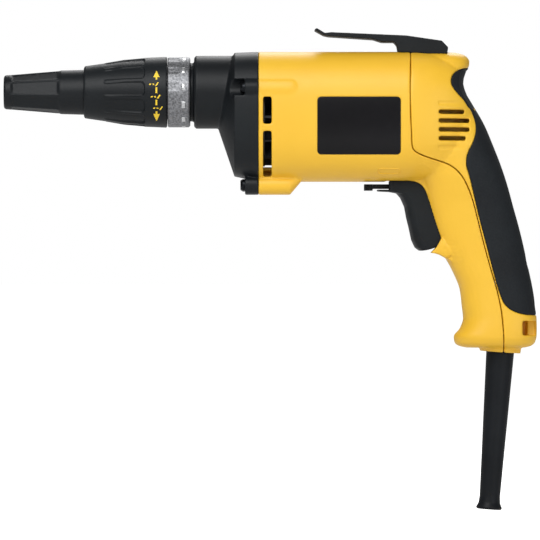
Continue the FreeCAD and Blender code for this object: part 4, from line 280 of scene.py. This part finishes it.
def prismMesh(outline, halfWidth):
    count = len(outline)
    points = [(x * mm, y * mm, z * mm) for y in (-halfWidth, halfWidth) for x, z in outline]
    faces = [list(range(count)), [2 * count - 1 - i for i in range(count)]]
    faces += [[i, (i + 1) % count, count + (i + 1) % count, count + i] for i in range(count)]
    return points, faces


def ringFaces(rows, around):
    return [[i * around + j, i * around + (j + 1) % around, (i + 1) % rows * around + (j + 1) % around,
             (i + 1) % rows * around + j] for i in range(rows) for j in range(around)]


def layerMesh(top, bottom):
    rows, across = top.shape[:2]
    size = rows * across
    faces = []
    for i in range(rows - 1):
        for j in range(across - 1):
            a = i * across + j
            faces += [[a, a + 1, a + across + 1, a + across],
                      [size + a, size + a + across, size + a + across + 1, size + a + 1]]
    rim = list(range(across)) + [i * across + across - 1 for i in range(1, rows)]
    rim += [(rows - 1) * across + j for j in range(across - 2, -1, -1)]
    rim += [i * across for i in range(rows - 2, 0, -1)]
    faces += [[a, b, size + b, size + a] for a, b in zip(rim, rim[1:] + rim[:1])]
    return np.concatenate((top.reshape(-1, 3), bottom.reshape(-1, 3))) * mm, faces


def easing(value, low, high):
    share = np.clip((value - low) / (high - low), 0.0, 1.0)
    return share * share * (3 - 2 * share)


# moulded skins: the solid's own shape with its edges rounded as they leave a mould

weldMm = 0.001


def bakeModifiers(piece):
    bpy.context.view_layer.update()
    baked = bpy.data.meshes.new_from_object(piece.evaluated_get(bpy.context.evaluated_depsgraph_get()))
    baked.name = piece.name
    piece.modifiers.clear()
    piece.data = baked


def mouldedSkin(pieceName, spec):
    nodeName = spec["node"]
    finish = slotFinish[nodeSlot[nodeName]]
    shell = bmesh.new()
    shell.from_mesh(frame["nodes"][nodeName].data)
    bmesh.ops.remove_doubles(shell, verts=shell.verts, dist=weldMm * mm)
    for points, faces in spec.get("fills", []):
        corners = [shell.verts.new(point) for point in points]
        for face in faces:
            shell.faces.new([corners[i] for i in face])
    bmesh.ops.recalc_face_normals(shell, faces=shell.faces)
    plain = bpy.data.meshes.new(pieceName + "Plain")
    shell.to_mesh(plain)
    shell.free()
    piece = bpy.data.objects.new(pieceName, plain)
    bpy.context.scene.collection.objects.link(piece)

    def evenMesh():
        remesh = piece.modifiers.new("evenMesh", "REMESH")
        remesh.mode = "VOXEL"
        remesh.voxel_size = spec["voxelMm"] * mm

    evenMesh()
    cutters = []
    for operation, key in (("DIFFERENCE", "cuts"), ("UNION", "joins")):
        for points, faces in spec.get(key, []):
            cutters.append(newPiece(pieceName + "Cutter", points, faces, finish))
            cut = piece.modifiers.new(key, "BOOLEAN")
            cut.operation = operation
            cut.solver = "MANIFOLD"
            cut.object = cutters[-1]
    if cutters:
        evenMesh()
    soften = piece.modifiers.new("softEdges", "SMOOTH")
    soften.factor = 0.5
    soften.iterations = spec["softRounds"]
    bakeModifiers(piece)
    for cutter in cutters:
        bpy.data.objects.remove(cutter)
    if "press" in spec:
        places = np.empty(len(piece.data.vertices) * 3)
        piece.data.vertices.foreach_get("co", places)
        piece.data.vertices.foreach_set("co", spec["press"](places.reshape(-1, 3) / mm).ravel() * mm)
        piece.data.update()
    thin = piece.modifiers.new("fewerFaces", "DECIMATE")
    thin.ratio = spec["keepShare"]
    bakeModifiers(piece)
    skin = piece.data
    skin.materials.clear()
    skin.materials.append(finish)
    skin.shade_smooth()
    settle(piece, nodeBody[nodeName], nodeName)


# the barrel's rounded section and the dome behind the seam
barrel = {"middle": -13.9, "halfHeight": 36.7, "halfWidth": 33.0, "power": 2.8, "seam": 209.6, "domeLength": 37.0,
          "alongShares": (0.0, 0.3, 0.58, 0.8, 0.94, 1.0), "tallShares": (1.0, 0.985, 0.92, 0.78, 0.58, 0.42),
          "wideShares": (1.0, 0.95, 0.84, 0.68, 0.5, 0.36)}


def barrelSide(x, z):
    along = np.clip((x - barrel["seam"]) / barrel["domeLength"], 0.0, 1.0)
    tall = np.interp(along, barrel["alongShares"], barrel["tallShares"]) * barrel["halfHeight"]
    wide = np.interp(along, barrel["alongShares"], barrel["wideShares"]) * barrel["halfWidth"]
    rise = np.clip(np.abs(z - barrel["middle"]) / tall, 0.0, 1.0)
    return wide * (1 - rise ** barrel["power"]) ** (1 / barrel["power"])


# the throat above the grip, seen from the side: the shells stop short of it and the pad fills it
throat = {"z": (-13.0, -9.2, -5.5, -2.1, 1.3, 4.7, 8.0, 11.5, 12.6),
          "x": (249.0, 246.8, 244.6, 242.5, 241.1, 240.2, 240.6, 241.8, 242.2),
          "crown": 3.5, "padDepth": 6.0, "shellInset": 4.2, "padInset": 3.0, "low": -9.5, "high": 12.7, "far": 262.0,
          "footStep": 2.2, "cutHalf": 40, "edgeGap": 0.1, "rows": 41, "across": 25}


def throatCut(inset):
    line = [(x - inset, z) for x, z in zip(throat["x"], throat["z"]) if z > throat["low"]]
    foot, top = (line[0][0] + throat["footStep"], throat["low"]), (line[-1][0], throat["high"])
    behind = [(throat["far"], throat["high"]), (throat["far"], throat["low"])]
    return prismMesh([foot] + line + [top] + behind, throat["cutHalf"])


def throatFill():
    count = len(throat["z"])
    heights = np.interp(np.linspace(0, 1, throat["rows"]), np.linspace(0, 1, count), throat["z"])
    crest = np.interp(heights, throat["z"], throat["x"])
    edge = barrelSide(crest - throat["crown"], heights) - throat["edgeGap"]
    share = np.linspace(-1, 1, throat["across"])
    back = crest[:, None] - throat["crown"] * share[None, :] ** 2
    side = edge[:, None] * share[None, :]
    front = np.broadcast_to(crest[:, None] - throat["padDepth"], back.shape)
    tall = np.broadcast_to(heights[:, None], back.shape)
    return layerMesh(np.stack((back, side, tall), axis=-1), np.stack((front, side, tall), axis=-1))


# cooling slots in the cover, with a rib between the two sides
vents = {"front": 225.7, "ends": (240.3, 243.1, 243.2, 241.0), "top": -11.6, "pitch": 4.95, "height": 2.4,
         "depthFrom": 14.5, "reach": 40.0, "ribLead": 3, "ribEnd": 243.0, "ribHalf": 1.5}

# the strap's slot at the foot of the grip, with a sunk field behind it and a block inside that keeps it blind
strap = {"front": 273.2, "slot": 3.0, "rear": 281.0, "middle": -133.2, "height": 8.2, "web": 0.8, "field": 5.5,
         "overlap": 0.2, "reach": 30.0, "blockLead": 0.7, "blockEnd": 279.4, "blockHalf": 8.4, "blockRise": 1.2}


def coverCuts():
    half = vents["height"] / 2
    slots = []
    for i, end in enumerate(vents["ends"]):
        z = vents["top"] - i * vents["pitch"]
        slots += sides(((vents["front"], vents["depthFrom"], z - half), (end, vents["reach"], z + half)))
    low, high = strap["middle"] - strap["height"] / 2, strap["middle"] + strap["height"] / 2
    split = strap["front"] + strap["slot"]
    slots += sides(((strap["front"], strap["web"], low), (split, strap["reach"], high)))
    fields = sides(((split - strap["overlap"], strap["field"], low), (strap["rear"], strap["reach"], high)))
    return [boxMesh(slots), boxMesh(fields), throatCut(throat["shellInset"])]


def coverFills():
    bottom, top = vents["top"] - len(vents["ends"]) * vents["pitch"], vents["top"] + vents["pitch"]
    rib = ((vents["front"] - vents["ribLead"], -vents["ribHalf"], bottom), (vents["ribEnd"], vents["ribHalf"], top))
    low = strap["middle"] - strap["height"] / 2 - strap["blockRise"]
    high = strap["middle"] + strap["height"] / 2 + strap["blockRise"]
    block = ((strap["front"] - strap["blockLead"], -strap["blockHalf"], low),
             (strap["blockEnd"], strap["blockHalf"], high))
    return [boxMesh([rib]), boxMesh([block])]


# where the barrel runs into the grip, and round the lip under the trigger, the sides flow together: there their
# height over the middle plane is evened out across a few mm
calmSpec = {"patches": (((212.0, 250.0), (-48.5, -29.5)), ((221.0, 243.0), (-101.0, -82.0))), "fade": 5.0,
            "margin": 12.0, "cell": 1.2, "rounds": 8, "skin": 1.5}


def evened(height, known):
    total, share = height * known, known.copy()
    for _ in range(calmSpec["rounds"]):
        for field in (total, share):
            for axis in (0, 1):
                field[:] = 0.5 * field + 0.25 * (np.roll(field, 1, axis) + np.roll(field, -1, axis))
    return total / np.maximum(share, 1e-6)


def readGrid(field, column, row):
    i, j = (np.clip(np.floor(place).astype(int), 0, size - 2) for place, size in zip((column, row), field.shape))
    a, b = np.clip(column - i, 0.0, 1.0), np.clip(row - j, 0.0, 1.0)
    near = field[i, j] * (1 - b) + field[i, j + 1] * b
    return near * (1 - a) + (field[i + 1, j] * (1 - b) + field[i + 1, j + 1] * b) * a


def calmed(places):
    x, y, z = places.T
    cell, margin, fade = calmSpec["cell"], calmSpec["margin"], calmSpec["fade"]
    for (x0, x1), (z0, z1) in calmSpec["patches"]:
        column, row = (x - x0 + margin) / cell, (z - z0 + margin) / cell
        columns, rows = int((x1 - x0 + 2 * margin) / cell) + 2, int((z1 - z0 + 2 * margin) / cell) + 2
        weight = easing(x, x0, x0 + fade) * (1 - easing(x, x1 - fade, x1))
        weight = weight * easing(z, z0, z0 + fade) * (1 - easing(z, z1 - fade, z1))
        i, j = np.rint(column).astype(int), np.rint(row).astype(int)
        inside = (i >= 0) & (i < columns) & (j >= 0) & (j < rows)
        for side in (-1, 1):
            height = np.zeros((columns, rows))
            mine = inside & (y * side > 0)
            np.maximum.at(height, (i[mine], j[mine]), y[mine] * side)
            known = (height > 0).astype(float)
            first = np.where(known > 0, height, evened(height, known))
            calm = evened(first, (first > 0).astype(float))
            outer = mine & (y * side > readGrid(first, column, row) - calmSpec["skin"])
            y = np.where(outer, y + side * weight * (readGrid(calm - first, column, row)), y)
    return np.stack((x, y, z), axis=-1)


# shallow grooves above and below the cooling slots, which fade out to the rear
groove = {"heights": (-6.7, -31.6), "depth": 0.5, "floorHalf": 0.6, "edgeHalf": 1.5, "startHalf": 0.6,
          "fadeFrom": 232.0, "fadeTo": 243.0, "skin": 2.0, "leastSide": 17.0}


def coverPress(places):
    x, y, z = places.T
    outside = np.abs(y) > np.maximum(barrelSide(x, z) - groove["skin"], groove["leastSide"])
    run = easing(x, vents["front"] - groove["startHalf"], vents["front"] + groove["startHalf"])
    run = run * (1 - easing(x, groove["fadeFrom"], groove["fadeTo"]))
    for middleZ in groove["heights"]:
        off = np.abs(z - middleZ)
        dip = run * (1 - easing(off, groove["floorHalf"], groove["edgeHalf"])) * groove["depth"]
        y = np.where(outside, y - np.sign(y) * dip, y)
    return calmed(np.stack((x, y, z), axis=-1))


# the screw bosses on the barrel's sides are low, with a faint edge
bossSpec = {"to": 152.0, "low": -8.0, "high": 12.0, "keep": 0.4}


def housingPress(places):
    x, y, z = places.T
    side = barrelSide(x, z)
    proud = np.maximum(np.abs(y) - side, 0.0)
    here = (x < bossSpec["to"]) & (z > bossSpec["low"]) & (z < bossSpec["high"])
    y = np.where(here, y - np.sign(y) * proud * (1 - bossSpec["keep"]), y)
    return calmed(np.stack((x, y, z), axis=-1))


# the trigger's finger is rounded across its front, and its top comes close under the barrel
fingerSpec = {"frontZ": (-88.0, -77.8, -63.7, -55.2), "frontX": (213.6, 210.2, 206.8, 200.6), "half": 9.5,
              "round": 5.0, "roundShare": 0.98, "run": 10.0, "plainZ": (-58.0, -54.0), "topFrom": -51.6,
              "topRun": 0.8, "rise": 0.35}


def fingerPress(places):
    x, y, z = places.T
    deep = np.clip(x - np.interp(z, fingerSpec["frontZ"], fingerSpec["frontX"]), 0.0, None)
    across = np.clip(np.abs(y) / fingerSpec["half"], 0.0, 1.0)
    bend = 1 - np.sqrt(1 - fingerSpec["roundShare"] * across ** 2)
    held = easing(z, *fingerSpec["plainZ"])
    x = x + np.clip(1 - deep / fingerSpec["run"], 0.0, 1.0) * bend * fingerSpec["round"] * (1 - held)
    z = z + easing(z, fingerSpec["topFrom"], fingerSpec["topFrom"] + fingerSpec["topRun"]) * fingerSpec["rise"]
    return np.stack((x, y, z), axis=-1)


# the rounded corner of the trigger's opening, on both sides, the lip under the trigger, and a rib behind the foot of
# the lower front vent
cornerSpec = {"x": 216.9, "z": -50.2, "slant": 0.348, "reach": 7.0, "inside": 10.0, "outside": 12.0, "overlap": 3.5,
              "steps": 9}
lipSpec = {"outline": [(224.2, -90.3), (234.0, -90.3), (238.0, -97.0), (233.2, -95.6), (229.0, -92.4),
                       (224.8, -91.2)], "half": 11.0}
ventRib = ((126.5, -6.0, -44.5), (132.5, 6.0, -42.4))


def housingFills():
    x, z, reach, overlap = (cornerSpec[key] for key in ("x", "z", "reach", "overlap"))
    low = (x + cornerSpec["slant"] * reach, z - reach)
    arc = [((1 - t) ** 2 * (x - reach) + 2 * t * (1 - t) * x + t * t * low[0],
            (1 - t) ** 2 * z + 2 * t * (1 - t) * z + t * t * low[1]) for t in np.linspace(0, 1, cornerSpec["steps"])]
    outline = arc + [(low[0] + overlap, low[1]), (x + overlap, z + overlap), (x - reach, z + overlap)]
    points, faces = prismMesh(outline, (cornerSpec["outside"] - cornerSpec["inside"]) / 2)
    middleY = (cornerSpec["outside"] + cornerSpec["inside"]) / 2
    corners = [([(px, py + side * middleY * mm, pz) for px, py, pz in points], faces) for side in (-1, 1)]
    return [boxMesh([ventRib])] + corners + [prismMesh(lipSpec["outline"], lipSpec["half"])]


skinSpecs = {
    "motorHousing": {"node": "motor_housing", "voxelMm": 0.6, "softRounds": 5, "keepShare": 0.4,
                     "fills": housingFills(), "press": housingPress},
    "handleCover": {"node": "handle_cover", "voxelMm": 0.5, "softRounds": 3, "keepShare": 0.4,
                    "fills": coverFills(), "cuts": coverCuts(), "press": coverPress},
    "gearCase": {"node": "gear_case", "voxelMm": 0.5, "softRounds": 3, "keepShare": 0.4},
    "gripPad": {"node": "grip_pad", "voxelMm": 0.5, "softRounds": 6, "keepShare": 0.5,
                "cuts": [throatCut(throat["padInset"])], "joins": [throatFill()]},
    "beltHook": {"node": "belt_hook", "voxelMm": 0.4, "softRounds": 3, "keepShare": 0.5},
    "triggerFinger": {"node": "trigger", "voxelMm": 0.35, "softRounds": 6, "keepShare": 0.5, "press": fingerPress},
    "reversingLever": {"node": "reversing_lever", "voxelMm": 0.25, "softRounds": 4, "keepShare": 0.5},
    "cordSleeve": {"node": "cord_sleeve", "voxelMm": 0.45, "softRounds": 4, "keepShare": 0.5},
    "labelPlateLeft": {"node": "label_plate_left", "voxelMm": 0.3, "softRounds": 2, "keepShare": 0.4},
    "labelPlateRight": {"node": "label_plate_right", "voxelMm": 0.3, "softRounds": 2, "keepShare": 0.4},
}
for skinName, skinSpec in skinSpecs.items():
    mouldedSkin(skinName, skinSpec)


# turned pieces: a closed outline of (along, radius) places run round the spindle axis, with what is moulded on it

sharpTurn = math.radians(38)
same = 0.01  # two radii this close are the same wall


def turnedPiece(pieceName, nodeName, spec, swell):
    xs, rs = [], []
    outline = spec["outline"]
    for (x0, r0), (x1, r1) in zip(outline, outline[1:] + outline[:1]):
        count = max(2, math.ceil(math.hypot(x1 - x0, r1 - r0) / spec["stepMm"]))
        xs += list(np.linspace(x0, x1, count, endpoint=False))
        rs += list(np.linspace(r0, r1, count, endpoint=False))
    x, r = np.array(xs)[:, None], np.array(rs)[:, None]
    turn = np.linspace(0, 2 * math.pi, spec["around"], endpoint=False)[None, :]  # from straight up, over the left
    radius = swell(x, r, turn)
    along = np.broadcast_to(x, radius.shape)
    points = np.stack((along, -radius * np.sin(turn), radius * np.cos(turn)), axis=-1).reshape(-1, 3) * mm
    piece = newPiece(pieceName, points, ringFaces(*radius.shape), slotFinish[nodeSlot[nodeName]])
    piece.data.shade_smooth()
    piece.data.set_sharp_from_angle(angle=sharpTurn)
    settle(piece, nodeBody[nodeName], nodeName)


def fromRib(turn, ribTurn, count):
    pitch = 2 * math.pi / count
    return (turn - math.radians(ribTurn) + pitch / 2) % pitch - pitch / 2  # angle from the nearest rib


# the thread by which the collar moves the nose
thread = {"pitch": 4.0, "root": 1.7, "crest": 0.9, "height": 1.0, "length": 7.6, "slack": 0.1}


def threadRidge(x, turn, start):
    pitch = thread["pitch"]
    lead = (x - start) / pitch - turn / (2 * math.pi)
    off = np.abs(lead - np.round(lead)) * pitch
    inside = np.round(lead) * pitch + turn / (2 * math.pi) * pitch
    ridge = np.clip((thread["root"] / 2 - off) / ((thread["root"] - thread["crest"]) / 2), 0.0, 1.0)
    return ridge * thread["height"] * (inside > -thread["slack"]) * (inside < thread["length"])


noseSpec = {
    "stepMm": 0.5, "around": 256, "flutes": 8, "ribTurn": 100, "ribHalf": 0.35, "ribEdge": 0.5, "depth": 0.95,
    "fluteFrom": -15.4, "fluteTo": 12.4, "endRun": 1.6, "fluteAbove": 9.3,
    "outline": [(-19.2, 6.5), (-19.2, 8.4), (-18.8, 9.2), (-18.0, 9.6), (12.4, 12.1), (13.2, 12.35), (26.0, 12.7),
                (44.4, 12.7), (44.4, 13.9), (55.2, 13.9), (55.2, 11.6), (33.4, 11.6), (33.4, 9.0), (-9.2, 9.0),
                (-9.2, 6.0), (-18.7, 6.0)],
    "threadFrom": 46.1, "threadAbove": 13.8,
    "keyway": {"bore": 11.6, "radius": 12.7, "half": 1.9, "from": 33.4},
}


def noseSwell(x, r, turn):
    off = np.abs(fromRib(turn, noseSpec["ribTurn"], noseSpec["flutes"]))
    pitch = math.pi / noseSpec["flutes"]
    flat = (r - noseSpec["depth"]) / np.cos(pitch - off)  # a flat panel between two ribs
    ends = easing(x, noseSpec["fluteFrom"], noseSpec["fluteFrom"] + noseSpec["endRun"])
    ends = ends * (1 - easing(x, noseSpec["fluteTo"] - noseSpec["endRun"], noseSpec["fluteTo"]))
    share = ends * easing(off * r, noseSpec["ribHalf"], noseSpec["ribHalf"] + noseSpec["ribEdge"])
    body = r - share * (r > noseSpec["fluteAbove"]) * np.maximum(r - flat, 0.0)
    tail = body + threadRidge(x, turn, noseSpec["threadFrom"]) * (r > noseSpec["threadAbove"])
    key = noseSpec["keyway"]
    slot = (np.abs(r * np.cos(turn)) < key["half"]) & (np.abs(r - key["bore"]) < same) & (x > key["from"])
    return np.where(slot, key["radius"], tail)


collarSpec = {
    "stepMm": 0.5, "around": 300, "ridges": 12, "ridgeTurn": 10.5, "ridgeHalf": 0.7, "ridgeEdge": 0.6, "corner": 2.2,
    "panel": ((37.4, 39.0, 48.6, 60.4), (16.3, 16.4, 17.75, 18.6)),  # along, and the radius of the panels' floor
    "outline": [(26.0, 13.5), (26.4, 14.5), (27.0, 14.8), (37.4, 16.3), (38.6, 16.75), (48.6, 18.44), (60.3, 19.48),
                (72.4, 20.0), (73.0, 19.4), (73.0, 15.6), (68.3, 15.6), (68.3, 14.8), (65.7, 14.8), (65.7, 15.6),
                (40.0, 15.6), (40.0, 13.1), (26.4, 13.1)],
    "outerAbove": 15.9, "bore": 15.6, "threadFrom": 48.1, "threadEnd": 60,
}


def collarSwell(x, r, turn):
    along, floor = collarSpec["panel"]
    corner = collarSpec["corner"]
    off = np.abs(fromRib(turn, collarSpec["ridgeTurn"], collarSpec["ridges"])) * r
    late = np.clip(x - along[-1] + corner, 0.0, corner)
    half = collarSpec["ridgeHalf"] + corner - np.sqrt(corner ** 2 - late ** 2)
    here = (x > along[0]) * (x < along[-1]) * (r > collarSpec["outerAbove"])
    share = easing(off, half, half + collarSpec["ridgeEdge"]) * here
    outer = r - share * np.maximum(r - np.interp(x, along, floor), 0.0)
    threaded = (np.abs(r - collarSpec["bore"]) < same) * (x < collarSpec["threadEnd"])
    return outer - threadRidge(x, turn, collarSpec["threadFrom"]) * threaded


ringSpec = {
    "stepMm": 0.5, "around": 240, "lugs": 12, "gapTurn": 22.5, "gapFrom": 1.3, "gapTo": 2.6, "gapDepth": 0.3,
    "gapEnd": (79.0, 80.6), "front": 73.3, "outerAbove": 19.0,
    "outline": [(62.0, 11.25), (86.0, 11.25), (86.0, 19.0), (85.2, 19.8), (73.9, 19.8), (73.4, 19.3), (73.4, 15.2),
                (68.7, 15.2), (68.7, 14.4), (65.3, 14.4), (65.3, 15.2), (62.0, 15.2)],
}


def ringSwell(x, r, turn):
    off = np.abs(fromRib(turn, ringSpec["gapTurn"], ringSpec["lugs"])) * r
    share = 1 - easing(off, ringSpec["gapFrom"], ringSpec["gapTo"])
    run = 1 - easing(x, *ringSpec["gapEnd"])
    return r - share * run * ringSpec["gapDepth"] * (r > ringSpec["outerAbove"]) * (x > ringSpec["front"])


turnedPiece("noseCone", "nose_cone", noseSpec, noseSwell)
turnedPiece("depthCollar", "depth_collar", collarSpec, collarSwell)
turnedPiece("detentRing", "detent_ring", ringSpec, ringSwell)

# low nubs behind the ring's gaps, coloured paler than the ring: a painted highlight
nubSpec = {"x": 82.4, "halfLength": 1.1, "halfWidth": 2.1, "ring": 19.8, "height": 0.35, "rim": 0.05, "sink": 0.3,
           "steps": 13}


def ringNubs():
    share = np.linspace(-1, 1, nubSpec["steps"])
    along, across = np.meshgrid(share, share, indexing="ij")
    dome = (1 - along ** 4) * (1 - across ** 4)
    x = nubSpec["x"] + along * nubSpec["halfLength"]
    top = nubSpec["ring"] - nubSpec["rim"] + dome * nubSpec["height"]
    foot = nubSpec["ring"] - nubSpec["sink"] + 0 * dome
    points, faces = [], []
    for step in range(ringSpec["lugs"]):
        middleTurn = math.radians(ringSpec["gapTurn"] + 360 / ringSpec["lugs"] * step)
        turn = middleTurn + across * nubSpec["halfWidth"] / nubSpec["ring"]
        grids = [np.stack((x, -r * np.sin(turn), r * np.cos(turn)), axis=-1) for r in (top, foot)]
        morePoints, moreFaces = layerMesh(*grids)
        faces += [[len(points) + i for i in face] for face in moreFaces]
        points += list(morePoints)
    # the pale zinc of the nubs is a painted highlight
    nubs = newPiece("ringNubs", points, faces, paintedHighlightZinc)
    nubs.data.shade_smooth()
    settle(nubs, "frame")


ringNubs()

# depth marks printed on the collar: an arrow at each end of a broken line, and ticks beside it. Each mark runs between
# two places of (way round, from, to)
printSpec = {
    "x": 67.2, "ring": 19.8, "proud": 0.04, "steps": 8,
    "marks": [
        [(12.5, -0.05, 0.05), (8.3, -1.8, 1.8)], [(8.4, -0.5, 0.5), (6.8, -0.5, 0.5)],
        [(2.4, -0.5, 0.5), (-1.0, -0.5, 0.5)], [(-4.7, -0.5, 0.5), (-7.9, -0.5, 0.5)],
        [(-11.8, -0.5, 0.5), (-13.7, -0.5, 0.5)], [(-13.6, -1.8, 1.8), (-19.4, -0.05, 0.05)],
        [(4.5, -3.9, -2.7), (3.7, -4.3, -3.3)], [(4.5, -2.4, -1.4), (3.7, -2.0, -1.1)],
        [(5.2, 0.6, 1.4), (3.1, -0.8, 0.1)],
        [(-2.6, -2.9, -1.7), (-3.4, -3.3, -2.3)], [(-2.6, -1.4, -0.4), (-3.4, -1.0, -0.1)],
        [(-1.9, 1.6, 2.4), (-4.0, 0.2, 1.1)],
        [(-9.4, -1.6, -0.4), (-10.2, -2.0, -1.0)], [(-9.4, -0.1, 0.9), (-10.2, 0.3, 1.2)],
        [(-8.7, 2.9, 3.7), (-10.8, 1.5, 2.4)],
    ],
}


def collarPrint():
    outer = [place for place in collarSpec["outline"] if place[1] > collarSpec["outerAbove"]]
    outerX, outerR = zip(*outer)
    steps = printSpec["steps"]
    points, faces = [], []
    for first, last in printSpec["marks"]:
        base = len(points)
        for share in np.linspace(0, 1, steps + 1):
            way, low, high = (a + (b - a) * share for a, b in zip(first, last))
            angle = way / printSpec["ring"]
            for across, lift in ((low, 1), (high, 1), (high, -1), (low, -1)):
                x = printSpec["x"] + across
                r = np.interp(x, outerX, outerR) + lift * printSpec["proud"]
                points.append((x * mm, -r * math.cos(angle) * mm, r * math.sin(angle) * mm))
        for a in range(base, base + 4 * steps, 4):
            faces += [[a + i, a + (i + 1) % 4, a + 4 + (i + 1) % 4, a + 4 + i] for i in range(4)]
        end = base + 4 * steps
        faces += [[base, base + 1, base + 2, base + 3], [end + 3, end + 2, end + 1, end]]
    settle(newPiece("collarPrint", points, faces, screenInk), "collar")


collarPrint()

# a moulded outline on the barrel's lower side: a thin raised bead run round a slot shape
beadSpec = {"x": (191.8, 204.0), "z": (-43.4, -46.2), "radius": 0.32, "sink": 0.04, "steps": 72, "around": 8}


def slotPath():
    (x0, x1), (z0, z1) = beadSpec["x"], beadSpec["z"]
    half, straight = (z0 - z1) / 2, x1 - x0 - (z0 - z1)
    total = 2 * straight + 2 * math.pi * half
    path = []
    for way in np.linspace(0, total, beadSpec["steps"], endpoint=False):
        if way < straight:
            path.append((x0 + half + way, z0))
        elif way < straight + math.pi * half:
            angle = (way - straight) / half
            path.append((x1 - half + half * math.sin(angle), (z0 + z1) / 2 + half * math.cos(angle)))
        elif way < 2 * straight + math.pi * half:
            path.append((x1 - half - (way - straight - math.pi * half), z1))
        else:
            angle = (way - 2 * straight - math.pi * half) / half
            path.append((x0 + half - half * math.sin(angle), (z0 + z1) / 2 - half * math.cos(angle)))
    return np.array(path).T


def barrelBead(name, side):
    x, z = slotPath()
    places = np.stack((x, side * (barrelSide(x, z) - beadSpec["sink"]), z), axis=-1)
    ahead = np.roll(places, -1, axis=0) - np.roll(places, 1, axis=0)
    ahead /= np.linalg.norm(ahead, axis=1, keepdims=True)
    up = np.cross(ahead, (0.0, side, 0.0))
    up /= np.linalg.norm(up, axis=1, keepdims=True)
    out = np.cross(up, ahead)
    points = []
    for place, first, second in zip(places, up, out):
        for angle in np.linspace(0, 2 * math.pi, beadSpec["around"], endpoint=False):
            spoke = math.cos(angle) * first + math.sin(angle) * second
            points.append((place + beadSpec["radius"] * spoke) * mm)
    bead = newPiece(name, points, ringFaces(len(places), beadSpec["around"]), yellowNylon)
    bead.data.shade_smooth()
    settle(bead, "frame")


barrelBead("barrelBeadLeft", -1)
barrelBead("barrelBeadRight", 1)


# floor, light and camera

studio = {"floorZ": cadBox[0].z - 0.4 * mm, "floorSize": 120.0, "floorCells": 8, "floorGlow": 0.9, "fibreMm": 60,
          "backdrop": 1.0, "roomLight": 0.2}

# places in metres, X from the middle of the part, sizes in metres and power in watts
lamps = {
    "keyLight": {"place": (-0.5, -1.6, 1.2), "size": 1.6, "power": 34.5},
    "fillLight": {"place": (1.2, -1.4, -0.02), "size": 1.4, "power": 9},
    "backLight": {"place": (0.2, 1.4, 1.1), "size": 1.2, "power": 14},
}

# the photograph is 540 pixels square at 0.565 mm a pixel, seen square on
photo = {"mmPerPixel": 0.565, "pixels": 540, "originPixel": (38.0, 92.3), "distance": 4.0, "sensorMm": 36.0}


def makeFloor():
    plain = bmesh.new()
    cells = studio["floorCells"]
    bmesh.ops.create_grid(plain, x_segments=cells, y_segments=cells, size=studio["floorSize"] / 2)
    mesh = bpy.data.meshes.new("studioFloor")
    plain.to_mesh(mesh)
    plain.free()
    floor = bpy.data.objects.new("studioFloor", mesh)
    floor.location = (0, 0, studio["floorZ"])
    bpy.context.scene.collection.objects.link(floor)
    # white card: near-white and dull; to the camera it glows, so that it meets the backdrop without a line
    material, tree, shader, coords = startMaterial("cardWhiteMatt", Roughness=0.9, Emission_Color=(1, 1, 1, 1))
    fibre = addNode(tree, "ShaderNodeTexNoise", {"Scale": perMetre(studio["fibreMm"]), "Detail": 2.0},
                    {"Vector": (coords, "Object")})
    tone = addNode(tree, "ShaderNodeMix", {"A": linear("#ececec"), "B": linear("#f0f0f0")},
                   {"Factor": (fibre, "Fac")}, data_type="RGBA")
    path = addNode(tree, "ShaderNodeLightPath")
    glow = addNode(tree, "ShaderNodeMapRange", {"To Max": studio["floorGlow"]}, {"Value": (path, "Is Camera Ray")})
    tree.links.new(glow.outputs["Result"], shader.inputs["Emission Strength"])
    tree.links.new(tone.outputs["Result"], shader.inputs["Base Color"])
    mesh.materials.append(material)


def areaLight(name, spec, aim):
    light = bpy.data.lights.new(name, "AREA")
    light.shape = "DISK"
    light.size = spec["size"]
    light.energy = spec["power"]
    along, across, height = spec["place"]
    lamp = bpy.data.objects.new(name, light)
    lamp.location = (aim.x + along, across, height)
    lamp.rotation_mode = "QUATERNION"
    lamp.rotation_quaternion = (aim - Vector((aim.x + along, across, height))).to_track_quat("-Z", "Y")
    lamp.visible_camera = False
    bpy.context.scene.collection.objects.link(lamp)


def makeWorld():
    world = bpy.data.worlds.new("studioWorld")
    world.use_nodes = True
    tree = world.node_tree
    room = tree.nodes["Background"]
    room.inputs["Color"].default_value = linear("#ffffff")
    room.inputs["Strength"].default_value = studio["roomLight"]
    backdrop = addNode(tree, "ShaderNodeBackground", {"Color": linear("#ffffff"), "Strength": studio["backdrop"]})
    path = addNode(tree, "ShaderNodeLightPath")
    seen = addNode(tree, "ShaderNodeMixShader", links={"Fac": (path, "Is Camera Ray")})
    tree.links.new(room.outputs["Background"], seen.inputs[1])
    tree.links.new(backdrop.outputs["Background"], seen.inputs[2])
    tree.links.new(seen.outputs["Shader"], tree.nodes["World Output"].inputs["Surface"])
    bpy.context.scene.world = world


def makeCamera():
    width = photo["mmPerPixel"] * photo["pixels"] * mm
    centreX = (photo["pixels"] / 2 - photo["originPixel"][0]) * photo["mmPerPixel"] * mm
    centreZ = (photo["originPixel"][1] - photo["pixels"] / 2) * photo["mmPerPixel"] * mm
    camera = bpy.data.objects.new("studioCamera", bpy.data.cameras.new("studioCamera"))
    camera.data.sensor_width = photo["sensorMm"]
    camera.data.lens = photo["sensorMm"] * photo["distance"] / width
    camera.location = (centreX, -photo["distance"], centreZ)
    camera.rotation_euler = (math.radians(90), 0, 0)
    bpy.context.scene.collection.objects.link(camera)
    bpy.context.scene.camera = camera


bpy.context.scene.view_settings.view_transform = "Standard"  # a white studio stays white
makeFloor()
for lampName, lampSpec in lamps.items():
    areaLight(lampName, lampSpec, (cadBox[0] + cadBox[1]) / 2)
makeWorld()
makeCamera()
print("floor, light and camera placed")
